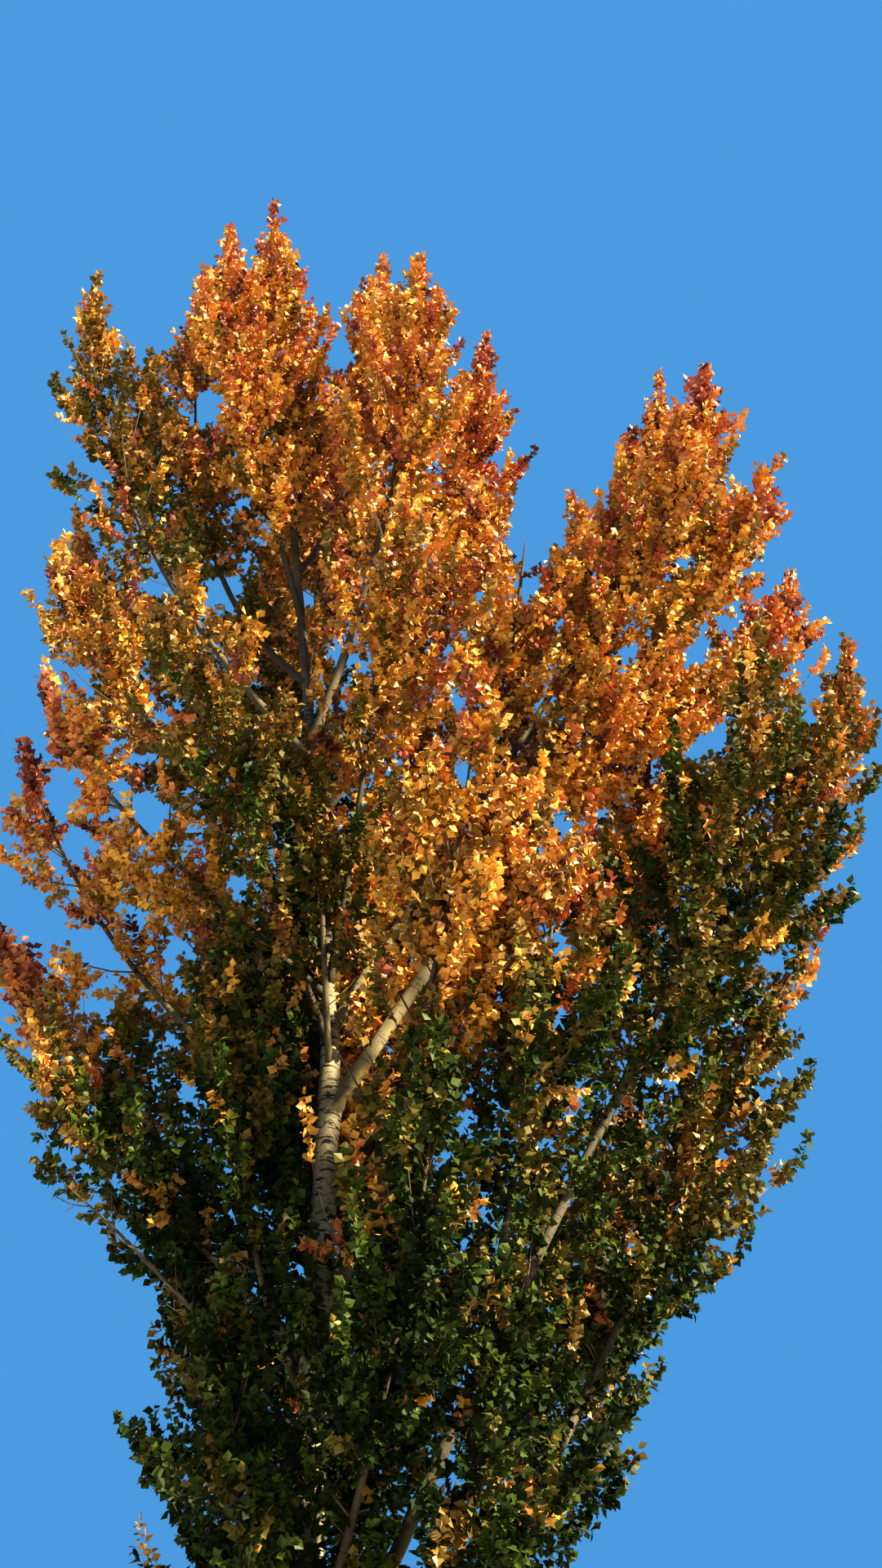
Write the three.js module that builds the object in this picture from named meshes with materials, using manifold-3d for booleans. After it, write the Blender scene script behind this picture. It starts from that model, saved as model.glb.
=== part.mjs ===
// A poplar in autumn, 22.3 m tall: one pale trunk that leans a little above its fork, ascending boughs,
// and a crown of upright, flame-shaped masses of twigs and leaves.
// Millimetres, +Z up. The origin is at the middle of the flat cut under the trunk, at ground level.
import * as THREE from "three";
import { mergeVertices } from "three/addons/utils/BufferGeometryUtils.js";
import Module from "manifold-3d";

const wasm = await Module();
wasm.setup();

// Trunk
const TRUNK_END = 15600;
const FORK_HEIGHT = 8500;
const LEAN = 0.118; // sideways run for each unit of height, above the fork
const LEAN_EASE = 1200; // height over which the trunk takes up its lean
const BUTT_RADIUS = 158;
const TAPER_BELOW_FORK = 0.0078;
const RADIUS_ABOVE_FORK = 80.5;
const TAPER_ABOVE_FORK = 0.0051;
const FORK_SWELL_HEIGHT = 500;
const WHORL_HEIGHT = 9080; // where several limbs leave together and the trunk narrows
const RADIUS_ABOVE_WHORL = 60;
const TAPER_ABOVE_WHORL = 0.0032;
const WHORL_SWELL_HEIGHT = 260;
const FLARE = { reach: 130, height: 280, ribs: 5, ribShare: 0.38 };
const BUTT_SWELL = { reach: 34, height: 1100 };

// Limbs and foliage
const GAP = 0.3; // clearance between two pieces that meet
const LIMB_TIP_RADIUS = 9;
const COLLAR = { share: 0.45, lengthInRadii: 2.2 };
const LAUNCH_SHARE = 0.35; // how far each end's direction is carried along a limb
const GOLDEN_ANGLE = THREE.MathUtils.degToRad(137.5);
const TWIG = {
  spacing: 800,
  least: 4,
  most: 5,
  lowest: 0.06,
  highest: 0.72,
  spreadLow: 58,
  spreadHigh: 36,
  reachShare: 0.62,
  radius: 15,
};
const LEAF = {
  lengthShare: 1.24,
  widthShare: 0.36,
  thicknessShare: 0.02,
  widestAt: 0.48,
  angle: 42,
  rollSpread: 30,
  places: [
    { t: 0.92, roll: 0, scale: 1 },
    { t: 0.72, roll: 100, scale: 0.95 },
    { t: 0.5, roll: -100, scale: 0.95 },
  ],
  stemShares: [0.16, 0.4, 0.62, 0.74, 0.86],
};
const OWN_SPACE = { samples: 14, edge: 1.05, tipEdge: 1.35, margin: 0.03 };
const PIECE_CLEARANCE = 4;

// Each row is one limb of the crown and the mass of foliage that it carries.
// host, at: what it grows from, and the height on the trunk or the share of the host limb's length.
// reach, bearing, top: its tip, as distance from the origin, degrees from +X towards +Y, and height.
// fork: degrees between the host and the limb's foot. lean: degrees off upright at its tip.
// bare: the share of the limb below its foliage. bough: whether that share is a bough of its own.
// girth: radius at its foot. breadth: half-width of its foliage.
const CROWN = [
  { name: "leader", host: "trunk", at: TRUNK_END - 60, fork: 0, lean: 4, bare: 0, bough: false,
    reach: 1380, bearing: 180, top: 22300, girth: 38, breadth: 760 },
  { name: "top_left", host: "trunk", at: 14200, fork: 30, lean: 3, bare: 0.22, bough: false,
    reach: 1990, bearing: 214, top: 19850, girth: 36, breadth: 640 },
  { name: "top_left_outer", host: "trunk", at: 13200, fork: 34, lean: 4, bare: 0.28, bough: false,
    reach: 2390, bearing: 168, top: 21250, girth: 38, breadth: 680 },
  { name: "top_middle", host: "trunk", at: 14850, fork: 30, lean: 3, bare: 0.28, bough: false,
    reach: 610, bearing: 78, top: 22000, girth: 36, breadth: 660 },
  { name: "top_right", host: "trunk", at: 12400, fork: 31, lean: 3, bare: 0.3, bough: true,
    reach: 1390, bearing: -60, top: 19050, girth: 48, breadth: 860 },
  { name: "top_right_outer", host: "trunk", at: 11400, fork: 34, lean: 8, bare: 0.33, bough: false,
    reach: 1780, bearing: 30, top: 20500, girth: 44, breadth: 820 },
  { name: "top_back", host: "trunk", at: 12900, fork: 34, lean: 6, bare: 0.28, bough: false,
    reach: 2500, bearing: 112, top: 21250, girth: 40, breadth: 840 },
  { name: "left_spire", host: "trunk", at: 12150, fork: 38, lean: 4, bare: 0.36, bough: true,
    reach: 3410, bearing: 190, top: 19600, girth: 46, breadth: 740 },
  { name: "left_spire_inner", host: "left_spire", at: 0.33, fork: 26, lean: 3, bare: 0.22, bough: true,
    reach: 3190, bearing: 158, top: 20450, girth: 26, breadth: 620 },
  { name: "left_high", host: "trunk", at: 11700, fork: 45, lean: 12, bare: 0.3, bough: false,
    reach: 4080, bearing: 155, top: 17750, girth: 38, breadth: 700 },
  { name: "left_upper", host: "trunk", at: 10700, fork: 50, lean: 20, bare: 0.27, bough: false,
    reach: 3140, bearing: 191, top: 14550, girth: 38, breadth: 780 },
  { name: "left_middle", host: "trunk", at: 9400, fork: 52, lean: 25, bare: 0.27, bough: false,
    reach: 2950, bearing: 206, top: 11900, girth: 36, breadth: 740 },
  { name: "left_far", host: "trunk", at: 8050, fork: 52, lean: 20, bare: 0.4, bough: true,
    reach: 3510, bearing: 167, top: 13000, girth: 40, breadth: 700 },
  { name: "left_wide", host: "trunk", at: 6900, fork: 52, lean: 30, bare: 0.32, bough: false,
    reach: 3100, bearing: 178, top: 10200, girth: 40, breadth: 700 },
  { name: "left_low", host: "trunk", at: 6200, fork: 46, lean: 30, bare: 0.26, bough: false,
    reach: 2370, bearing: 197, top: 8450, girth: 34, breadth: 580 },
  { name: "left_lowest", host: "trunk", at: 4300, fork: 45, lean: 20, bare: 0.26, bough: false,
    reach: 1510, bearing: 143, top: 8100, girth: 34, breadth: 700 },
  { name: "front_left", host: "trunk", at: 8900, fork: 45, lean: 10, bare: 0.26, bough: false,
    reach: 2560, bearing: 239, top: 12600, girth: 38, breadth: 820 },
  { name: "front_high", host: "trunk", at: 9500, fork: 34, lean: 6, bare: 0.34, bough: false,
    reach: 2000, bearing: -76, top: 14100, girth: 36, breadth: 880 },
  { name: "back_high", host: "trunk", at: 11000, fork: 38, lean: 8, bare: 0.3, bough: false,
    reach: 3350, bearing: 114, top: 19000, girth: 42, breadth: 900 },
  { name: "right_stem", host: "trunk", at: 8250, fork: 29, lean: 28, bare: 0.58, bough: true,
    reach: 4790, bearing: -2, top: 16550, girth: 68, breadth: 780 },
  { name: "right_inner", host: "trunk", at: 9040, fork: 28, lean: 4, bare: 0.42, bough: true,
    reach: 3870, bearing: 12, top: 19500, girth: 52, breadth: 860 },
  { name: "right_spire", host: "right_stem", at: 0.5, fork: 26, lean: 4, bare: 0.22, bough: true,
    reach: 4040, bearing: -13, top: 17250, girth: 28, breadth: 700 },
  { name: "right_edge", host: "right_stem", at: 0.48, fork: 30, lean: 8, bare: 0.22, bough: true,
    reach: 5330, bearing: 16, top: 16300, girth: 30, breadth: 760 },
  { name: "right_centre", host: "right_inner", at: 0.24, fork: 14, lean: 4, bare: 0.26, bough: true,
    reach: 2180, bearing: -30, top: 15800, girth: 36, breadth: 880 },
  { name: "right_side", host: "right_stem", at: 0.14, fork: 34, lean: 14, bare: 0.28, bough: true,
    reach: 3730, bearing: 25, top: 12950, girth: 32, breadth: 800 },
  { name: "low_right", host: "trunk", at: 3300, fork: 20, lean: 8, bare: 0.5, bough: true,
    reach: 4150, bearing: -15, top: 12850, girth: 66, breadth: 900 },
  { name: "low_right_outer", host: "low_right", at: 0.48, fork: 24, lean: 8, bare: 0.2, bough: true,
    reach: 5060, bearing: -3, top: 13450, girth: 34, breadth: 800 },
  { name: "low_right_inner", host: "low_right", at: 0.28, fork: 20, lean: 4, bare: 0.22, bough: true,
    reach: 2600, bearing: -44, top: 10050, girth: 34, breadth: 860 },
  { name: "lowest_right", host: "trunk", at: 2900, fork: 39, lean: 34, bare: 0.42, bough: true,
    reach: 4450, bearing: 5, top: 10400, girth: 60, breadth: 860 },
  { name: "back_right_low", host: "lowest_right", at: 0.26, fork: 30, lean: 10, bare: 0.24, bough: true,
    reach: 3800, bearing: 42, top: 9900, girth: 32, breadth: 920 },
  { name: "front_low", host: "trunk", at: 3900, fork: 45, lean: 10, bare: 0.24, bough: false,
    reach: 2380, bearing: -67, top: 7650, girth: 38, breadth: 860 },
  { name: "front_low_right", host: "trunk", at: 2650, fork: 44, lean: 12, bare: 0.26, bough: false,
    reach: 2220, bearing: -43, top: 6850, girth: 34, breadth: 820 },
  { name: "front_right", host: "trunk", at: 6200, fork: 45, lean: 8, bare: 0.26, bough: false,
    reach: 2500, bearing: -60, top: 11250, girth: 38, breadth: 940 },
  { name: "front_low_left", host: "trunk", at: 3200, fork: 45, lean: 10, bare: 0.24, bough: false,
    reach: 1400, bearing: 248, top: 6400, girth: 34, breadth: 680 },
  { name: "back_low", host: "trunk", at: 4600, fork: 45, lean: 12, bare: 0.26, bough: false,
    reach: 3300, bearing: 82, top: 10100, girth: 40, breadth: 980 },
  { name: "back_left", host: "trunk", at: 7400, fork: 42, lean: 10, bare: 0.28, bough: false,
    reach: 3500, bearing: 120, top: 13700, girth: 40, breadth: 940 },
  { name: "back_right", host: "trunk", at: 9600, fork: 40, lean: 10, bare: 0.28, bough: false,
    reach: 3300, bearing: 68, top: 16000, girth: 40, breadth: 960 },
  { name: "left_inner", host: "trunk", at: 5800, fork: 38, lean: 5, bare: 0.2, bough: false,
    reach: 960, bearing: 216, top: 10000, girth: 34, breadth: 700 },
  { name: "front_middle", host: "trunk", at: 8650, fork: 42, lean: 4, bare: 0.24, bough: false,
    reach: 1080, bearing: 262, top: 11900, girth: 32, breadth: 660 },
  { name: "centre_rise", host: "right_inner", at: 0.3, fork: 20, lean: 4, bare: 0.16, bough: true,
    reach: 2270, bearing: 14, top: 15600, girth: 30, breadth: 820 },
  { name: "right_rise", host: "right_stem", at: 0.4, fork: 22, lean: 5, bare: 0.16, bough: true,
    reach: 3150, bearing: -11, top: 14900, girth: 28, breadth: 800 },
];

// The dead limb that sticks out low on the left, with a few bare twigs.
const DEAD_LIMB = { name: "dead_limb", host: "trunk", at: 5550, fork: 46, lean: 58,
  reach: 2140, bearing: 202, top: 7330, girth: 26 };
const DEAD_TWIGS = { count: 6, from: 0.45, length: 380, radius: 6, spread: 42, seed: 9001 };

const BARK = new THREE.MeshStandardMaterial({ color: 0xb9ae98, roughness: 0.85, metalness: 0 });
const BOUGH_BARK = new THREE.MeshStandardMaterial({ color: 0x9a8f78, roughness: 0.85, metalness: 0 });
const DEAD_WOOD = new THREE.MeshStandardMaterial({ color: 0x4b4038, roughness: 0.95, metalness: 0 });
const FOLIAGE_COLOURS = [
  { upTo: 8500, material: leafMaterial(0x46561f) },
  { upTo: 12500, material: leafMaterial(0x8a7a24) },
  { upTo: 17500, material: leafMaterial(0xc98a1e) },
  { upTo: Infinity, material: leafMaterial(0xc46a1c) },
];

function leafMaterial(color) {
  return new THREE.MeshStandardMaterial({ color, roughness: 0.6, metalness: 0 });
}

// A repeatable stream of numbers from 0 to 1.
function randomFrom(seed) {
  const modulus = 2147483647;
  const multiplier = 48271;
  let state = seed;
  return () => {
    state = (state * multiplier) % modulus;
    return state / modulus;
  };
}

const UP = new THREE.Vector3(0, 0, 1);
const { degToRad, lerp, smoothstep, clamp } = THREE.MathUtils;

// The trunk's middle line, by height.
function trunkPoint(height) {
  const over = Math.max(0, height - FORK_HEIGHT);
  const run = (LEAN * over * over) / (over + LEAN_EASE);
  return new THREE.Vector3(-run, 0, height);
}

function trunkRadius(height, angle = 0) {
  const low = BUTT_RADIUS - TAPER_BELOW_FORK * height;
  const middle = RADIUS_ABOVE_FORK - TAPER_ABOVE_FORK * (height - FORK_HEIGHT);
  const high = RADIUS_ABOVE_WHORL - TAPER_ABOVE_WHORL * (height - WHORL_HEIGHT);
  const pastFork = smoothstep(height, FORK_HEIGHT, FORK_HEIGHT + FORK_SWELL_HEIGHT);
  const pastWhorl = smoothstep(height, WHORL_HEIGHT, WHORL_HEIGHT + WHORL_SWELL_HEIGHT);
  const ribs = 1 + FLARE.ribShare * Math.cos(FLARE.ribs * angle);
  const flare = FLARE.reach * Math.exp(-height / FLARE.height) * ribs;
  const swell = BUTT_SWELL.reach * Math.exp(-height / BUTT_SWELL.height);
  return lerp(lerp(low, middle, pastFork), high, pastWhorl) + flare + swell;
}

class TrunkLine extends THREE.Curve {
  constructor(end) {
    super();
    this.end = end;
  }

  getPoint(t, target = new THREE.Vector3()) {
    const crowding = 1.6; // more of the steps lie near the root flare
    return target.copy(trunkPoint(this.end * Math.pow(t, crowding)));
  }

  getTangent() {
    return UP.clone();
  }
}

// A limb's line from its host to its tip: it leaves at the fork angle and turns upright towards the tip.
function limbLine(row) {
  const start = row.host === "trunk" ? trunkPoint(row.at) : lines.get(row.host).getPoint(row.at);
  const along = hostDirection(row);
  const bearing = degToRad(row.bearing);
  const tip = new THREE.Vector3(row.reach * Math.cos(bearing), row.reach * Math.sin(bearing), row.top);
  const chord = tip.clone().sub(start);
  const outward = chord.clone().addScaledVector(along, -chord.dot(along)).normalize();
  const level = new THREE.Vector3(chord.x, chord.y, 0).normalize();
  const leaving = turned(along, outward, degToRad(row.fork));
  const arriving = turned(UP, level, degToRad(row.lean));
  const carry = chord.length() * LAUNCH_SHARE;
  const first = start.clone().addScaledVector(leaving, carry);
  const last = tip.clone().addScaledVector(arriving, -carry);
  return new THREE.CubicBezierCurve3(start, first, last, tip);
}

function turned(from, towards, angle) {
  return from.clone().multiplyScalar(Math.cos(angle)).addScaledVector(towards, Math.sin(angle));
}

function hostDirection(row) {
  if (row.host !== "trunk") return lines.get(row.host).getTangent(row.at);
  const step = 10;
  return trunkPoint(row.at + step).sub(trunkPoint(row.at - step)).normalize();
}

const lines = new Map();
for (const row of [...CROWN, DEAD_LIMB]) lines.set(row.name, limbLine(row));

// A limb's radius along its line, with the collar that swells where it forks from its host.
function limbRadius(row, t) {
  const collarLength = COLLAR.lengthInRadii * row.girth;
  const collar = row.fork === 0 ? 0 : Math.exp((-t * lines.get(row.name).getLength()) / collarLength);
  const taper = lerp(row.girth, LIMB_TIP_RADIUS, Math.pow(t, 0.9));
  return taper + row.girth * COLLAR.share * collar;
}

function welded(geometry) {
  geometry.deleteAttribute("normal");
  geometry.deleteAttribute("uv");
  return mergeVertices(geometry);
}

// A rod bent along part of a line. radiusAt takes the place along the line and the angle round it.
function rodAlong(line, { from = 0, to = 1, radiusAt, sides, steps, pointed = false }) {
  const rod = welded(new THREE.CylinderGeometry(pointed ? 0 : 1, 1, 1, sides, steps));
  const position = rod.getAttribute("position");
  const side = line.getPoint(1).sub(line.getPoint(0)).cross(UP);
  if (side.length() < 1) side.set(0, 1, 0);
  side.normalize();
  const vertex = new THREE.Vector3();
  for (let i = 0; i < position.count; i++) {
    vertex.fromBufferAttribute(position, i);
    const t = lerp(from, to, vertex.y + 0.5);
    const tangent = line.getTangent(t);
    const normal = tangent.clone().cross(side).normalize();
    const binormal = tangent.clone().cross(normal);
    const centre = line.getPoint(t);
    if (Math.hypot(vertex.x, vertex.z) > 1e-6) {
      const angle = Math.atan2(vertex.z, vertex.x);
      const radius = radiusAt(t, angle);
      centre.addScaledVector(binormal, radius * Math.cos(angle));
      centre.addScaledVector(normal, radius * Math.sin(angle));
    }
    position.setXYZ(i, centre.x, centre.y, centre.z);
  }
  return solidOf(rod);
}

function solidOf(geometry) {
  const mesh = new wasm.Mesh({
    numProp: 3,
    vertProperties: new Float32Array(geometry.getAttribute("position").array),
    triVerts: new Uint32Array(geometry.index.array),
  });
  return new wasm.Manifold(mesh);
}

function geometryOf(solid) {
  const mesh = solid.getMesh();
  const geometry = new THREE.BufferGeometry();
  geometry.setAttribute("position", new THREE.BufferAttribute(new Float32Array(mesh.vertProperties), 3));
  geometry.setIndex(new THREE.BufferAttribute(new Uint32Array(mesh.triVerts), 1));
  geometry.computeVertexNormals();
  return geometry;
}

// The one body that counts: loose scraps are dropped, and so are sealed hollows, which fills them.
function mainBody(solid) {
  return solid.decompose().reduce((best, body) => (body.volume() > best.volume() ? body : best));
}

function trunkSolid(extra) {
  const line = new TrunkLine(TRUNK_END + extra);
  const radiusAt = (t, angle) => trunkRadius(line.getPoint(t).z, angle) + extra;
  return rodAlong(line, { radiusAt, sides: 15, steps: 16 });
}

// The bough's own share of a limb. With extra it is the slightly larger shape that cuts what grows from it.
function boughSolid(row, extra) {
  const radiusAt = (t) => limbRadius(row, t) + extra;
  return rodAlong(lines.get(row.name), { to: row.bare, radiusAt, sides: 6, steps: 5 });
}

// A mass's stem: it goes on from the tip of its bough, or else it stands on the trunk.
function stemSolid(row) {
  const line = lines.get(row.name);
  const from = row.bough ? row.bare + GAP / line.getLength() : 0;
  const steps = row.bough ? 4 : 6;
  const stem = rodAlong(line, { from, radiusAt: (t) => limbRadius(row, t), sides: 5, steps, pointed: true });
  return row.bough ? stem : mainBody(stem.subtract(hosts.get("trunk")));
}

// Half-width of a mass as a share of its breadth, from the foot of its foliage to its tip.
function flame(share) {
  const swell = Math.pow(Math.sin(Math.PI * Math.pow(share, 0.62)), 0.75);
  return Math.max(0.16, 1.1 * swell * (1 - 0.35 * share));
}

// The balls along a mass's stem that bound its space.
function spaceOf(row) {
  const line = lines.get(row.name);
  return Array.from({ length: OWN_SPACE.samples }, (_, i) => {
    const share = i / (OWN_SPACE.samples - 1);
    return { centre: line.getPoint(lerp(row.bare, 1, share)), radius: row.breadth * flame(share) };
  });
}

const spaces = new Map(CROWN.map((row) => [row.name, spaceOf(row)]));

function depthIn(space, point) {
  return Math.min(...space.map((ball) => point.distanceTo(ball.centre) / ball.radius));
}

// A point is in a mass's space if it is inside its edge and plainly nearer to it than to any other mass.
function inOwnSpace(row, point) {
  const own = depthIn(spaces.get(row.name), point);
  if (own > OWN_SPACE.edge) return false;
  return CROWN.every((other) => other === row || depthIn(spaces.get(other.name), point) > own + OWN_SPACE.margin);
}

// A leaf blade that stands for a spray: a kite with a low ridge on both faces.
function leafSolid({ root, direction, facing, length }) {
  const blade = welded(new THREE.OctahedronGeometry(1, 0));
  const across = direction.clone().cross(facing).normalize();
  const through = across.clone().cross(direction).normalize();
  const position = blade.getAttribute("position");
  for (let i = 0; i < position.count; i++) {
    const along = position.getY(i) === 0 ? LEAF.widestAt : Math.max(0, position.getY(i));
    const place = root.clone().addScaledVector(direction, along * length);
    place.addScaledVector(across, position.getX(i) * LEAF.widthShare * length);
    place.addScaledVector(through, position.getZ(i) * LEAF.thicknessShare * length);
    position.setXYZ(i, place.x, place.y, place.z);
  }
  return solidOf(blade);
}

// The twigs of a mass, worked out from its stem: each leaves it in turn round the golden angle.
function twigsOf(row, random) {
  const line = lines.get(row.name);
  const leafy = line.getLength() * (1 - row.bare);
  const count = clamp(Math.round(leafy / TWIG.spacing), TWIG.least, TWIG.most);
  return Array.from({ length: count }, (_, i) => {
    const share = lerp(TWIG.lowest, TWIG.highest, i / (count - 1));
    const angle = i * GOLDEN_ANGLE + (random() - 0.5) * 0.5;
    const spread = degToRad(lerp(TWIG.spreadLow, TWIG.spreadHigh, share));
    const length = row.breadth * flame(share) * TWIG.reachShare * (0.9 + 0.2 * random());
    return { share, ...shootFrom(line, lerp(row.bare, 1, share), angle, spread, length) };
  });
}

// A straight shoot off a line, and the sideways direction level with it.
function shootFrom(line, t, angle, spread, length) {
  const tangent = line.getTangent(t);
  const normal = tangent.clone().cross(new THREE.Vector3(0, 1, 0)).normalize();
  const outward = turned(normal, tangent.clone().cross(normal), angle);
  const leaving = turned(tangent, outward, spread);
  const root = line.getPoint(t);
  const twig = new THREE.LineCurve3(root, root.clone().addScaledVector(leaving, length));
  return { leaving, sideways: leaving.clone().cross(UP).normalize(), twig };
}

// The leaves of one twig. Each blade lies in a plane with the twig, so that its root is sunk in the wood.
function leavesOf(row, { share, leaving, sideways, twig }, random) {
  const size = row.breadth * Math.sqrt(flame(share)) * LEAF.lengthShare;
  const upward = sideways.clone().cross(leaving).normalize();
  return LEAF.places.map(({ t, roll, scale }) => {
    const side = turned(upward, sideways, degToRad(roll + (random() - 0.5) * LEAF.rollSpread));
    return bladeFrom(twig.getPoint(t), leaving, side, degToRad(LEAF.angle + 14 * random()), size * scale);
  });
}

function bladeFrom(root, along, side, angle, length) {
  const direction = turned(along, side, angle);
  return { root, direction, facing: along.clone().cross(side).normalize(), length };
}

// The leaves that stand on the stem itself, between its twigs, and the one that ends it.
function stemLeavesOf(row, random) {
  const line = lines.get(row.name);
  const firstAngle = random() * 2 * Math.PI;
  return LEAF.stemShares.map((share, i) => {
    const t = lerp(row.bare, 1, share);
    const tangent = line.getTangent(t);
    const angle = firstAngle + i * GOLDEN_ANGLE;
    const side = new THREE.Vector3(Math.cos(angle), Math.sin(angle), 0);
    side.addScaledVector(tangent, -side.dot(tangent)).normalize();
    const last = i === LEAF.stemShares.length - 1;
    const length = last ? line.getLength() * (1 - t) * 1.08 : row.breadth * Math.sqrt(flame(share));
    return bladeFrom(line.getPoint(t), tangent, side, last ? 0 : degToRad(LEAF.angle), length);
  });
}

function massSolid(row, index) {
  const random = randomFrom(index * 7919 + 104729);
  const pieces = [stems.get(row.name)];
  const neighbours = [...finished, ...CROWN.filter((other) => other !== row).map((other) => stems.get(other.name))];
  const fits = (solid) => neighbours.every((other) => solid.minGap(other, PIECE_CLEARANCE) >= PIECE_CLEARANCE);
  const clearOfLeaves = (solid) => leaves.every((other) => solid.minGap(other, 1) > 0);
  const leaves = [];
  const addLeaf = (leaf) => {
    const middle = leaf.root.clone().addScaledVector(leaf.direction, leaf.length * LEAF.widestAt);
    const tip = leaf.root.clone().addScaledVector(leaf.direction, leaf.length);
    const solid = leafSolid(leaf);
    const inside = inOwnSpace(row, middle) && depthIn(spaces.get(row.name), tip) < OWN_SPACE.tipEdge;
    if (inside && clearOfLeaves(solid) && fits(solid)) leaves.push(solid);
  };
  const shoots = [];
  for (const shoot of twigsOf(row, random)) {
    const thin = TWIG.radius * (0.6 + 0.4 * flame(shoot.share));
    const twig = rodAlong(shoot.twig, { radiusAt: (t) => thin * (1 - 0.5 * t), sides: 3, steps: 1, pointed: true });
    if (!inOwnSpace(row, shoot.twig.getPoint(0.7)) || !fits(twig)) continue;
    pieces.push(twig);
    shoots.push(shoot);
  }
  for (const leaf of stemLeavesOf(row, random).reverse()) addLeaf(leaf);
  for (const shoot of shoots) for (const leaf of leavesOf(row, shoot, random)) addLeaf(leaf);
  return mainBody(wasm.Manifold.union([...pieces, ...leaves]));
}

function deadLimbSolid(row) {
  const line = lines.get(row.name);
  const pieces = [rodAlong(line, { radiusAt: (t) => limbRadius(row, t), sides: 5, steps: 6, pointed: true })];
  const random = randomFrom(DEAD_TWIGS.seed);
  for (let i = 0; i < DEAD_TWIGS.count; i++) {
    const t = lerp(DEAD_TWIGS.from, 0.95, i / DEAD_TWIGS.count);
    const length = DEAD_TWIGS.length * (0.6 + 0.6 * random());
    const { twig } = shootFrom(line, t, i * GOLDEN_ANGLE, degToRad(DEAD_TWIGS.spread), length);
    pieces.push(rodAlong(twig, { radiusAt: () => DEAD_TWIGS.radius, sides: 3, steps: 1, pointed: true }));
  }
  return mainBody(wasm.Manifold.union(pieces).subtract(hosts.get("trunk")));
}

function foliageMaterial(row) {
  const middle = lines.get(row.name).getPoint(lerp(row.bare, 1, 0.5)).z;
  return FOLIAGE_COLOURS.find(({ upTo }) => middle < upTo).material;
}

const tree = new THREE.Group();
const finished = [];

function addMesh(name, solid, material) {
  const mesh = new THREE.Mesh(geometryOf(solid), material);
  mesh.name = name;
  tree.add(mesh);
  finished.push(solid);
}

// Each host's shape, larger all round by the gap, cuts the foot of what grows from it.
const hosts = new Map([["trunk", trunkSolid(GAP)]]);
addMesh("trunk", trunkSolid(0), BARK);
for (const row of CROWN.filter(({ bough }) => bough)) {
  hosts.set(row.name, boughSolid(row, GAP));
  addMesh("bough_" + row.name, mainBody(boughSolid(row, 0).subtract(hosts.get(row.host))), BOUGH_BARK);
}
addMesh(DEAD_LIMB.name, deadLimbSolid(DEAD_LIMB), DEAD_WOOD);

const stems = new Map(CROWN.map((row) => [row.name, stemSolid(row)]));
CROWN.forEach((row, index) => addMesh("foliage_" + row.name, massSolid(row, index + 1), foliageMaterial(row)));

export default tree;
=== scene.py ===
"""A poplar in autumn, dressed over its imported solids.

The trunk, the boughs and the dead limb get meshes with the relief of their bark. Each mass of foliage grows
again by the rule that made its solid, carried on to finer twigs, leafy shoots and single leaves.
Metres, +Z up, with the origin at the middle of the flat cut under the trunk.
"""

import logging
import math
from collections.abc import Callable, Iterator
from dataclasses import dataclass, field
from enum import Enum
from typing import ClassVar

import bmesh
import bpy
import numpy as np
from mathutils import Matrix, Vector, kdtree


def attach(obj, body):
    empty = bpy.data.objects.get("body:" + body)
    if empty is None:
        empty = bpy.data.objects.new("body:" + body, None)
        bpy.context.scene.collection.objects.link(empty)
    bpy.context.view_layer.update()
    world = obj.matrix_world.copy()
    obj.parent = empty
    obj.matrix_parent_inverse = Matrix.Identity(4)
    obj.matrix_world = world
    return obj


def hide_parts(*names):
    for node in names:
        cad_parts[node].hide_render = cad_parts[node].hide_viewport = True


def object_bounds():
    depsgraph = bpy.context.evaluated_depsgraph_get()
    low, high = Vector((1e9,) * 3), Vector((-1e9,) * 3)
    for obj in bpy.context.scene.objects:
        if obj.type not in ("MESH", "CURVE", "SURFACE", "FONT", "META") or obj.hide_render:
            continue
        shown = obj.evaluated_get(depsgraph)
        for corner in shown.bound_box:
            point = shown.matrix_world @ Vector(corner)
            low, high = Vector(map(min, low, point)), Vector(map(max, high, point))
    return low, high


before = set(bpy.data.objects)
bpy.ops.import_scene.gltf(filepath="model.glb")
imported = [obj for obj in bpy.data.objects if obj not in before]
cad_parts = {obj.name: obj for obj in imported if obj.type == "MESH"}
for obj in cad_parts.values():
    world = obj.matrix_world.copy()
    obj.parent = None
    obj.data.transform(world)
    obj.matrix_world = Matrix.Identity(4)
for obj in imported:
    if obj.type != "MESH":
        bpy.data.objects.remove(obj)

CAD_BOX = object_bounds()
BODY = "root"
TRUNK = "trunk"
UP = np.array([0.0, 0.0, 1.0])
AWAY = np.array([0.0, 1.0, 0.0])
GOLDEN_ANGLE = math.radians(137.5)
EYE = (0.93, -12.0, 1.6)  # the camera's place, 1.6 m above the ground in front of the tree

log = logging.getLogger("poplar")

Array = np.ndarray
Numbers = Array | float
Pair = tuple[float, float]
Triple = tuple[float, float, float]
Object = bpy.types.Object
Material = bpy.types.Material
Socket = bpy.types.NodeSocket


def lerp(start: Numbers, end: Numbers, share: Numbers) -> Numbers:
    """Gives the value at a share of the way from start to end."""
    return start + (end - start) * share


def smoothstep(value: Array, low: float, high: float) -> Array:
    """Gives 0 below low, 1 above high and an even S between them."""
    share = np.clip((value - low) / (high - low), 0, 1)
    return share * share * (3 - 2 * share)


def unit(vectors: Array) -> Array:
    """Gives vectors of length 1 along the given ones."""
    return vectors / np.linalg.norm(vectors, axis=-1, keepdims=True)


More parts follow.
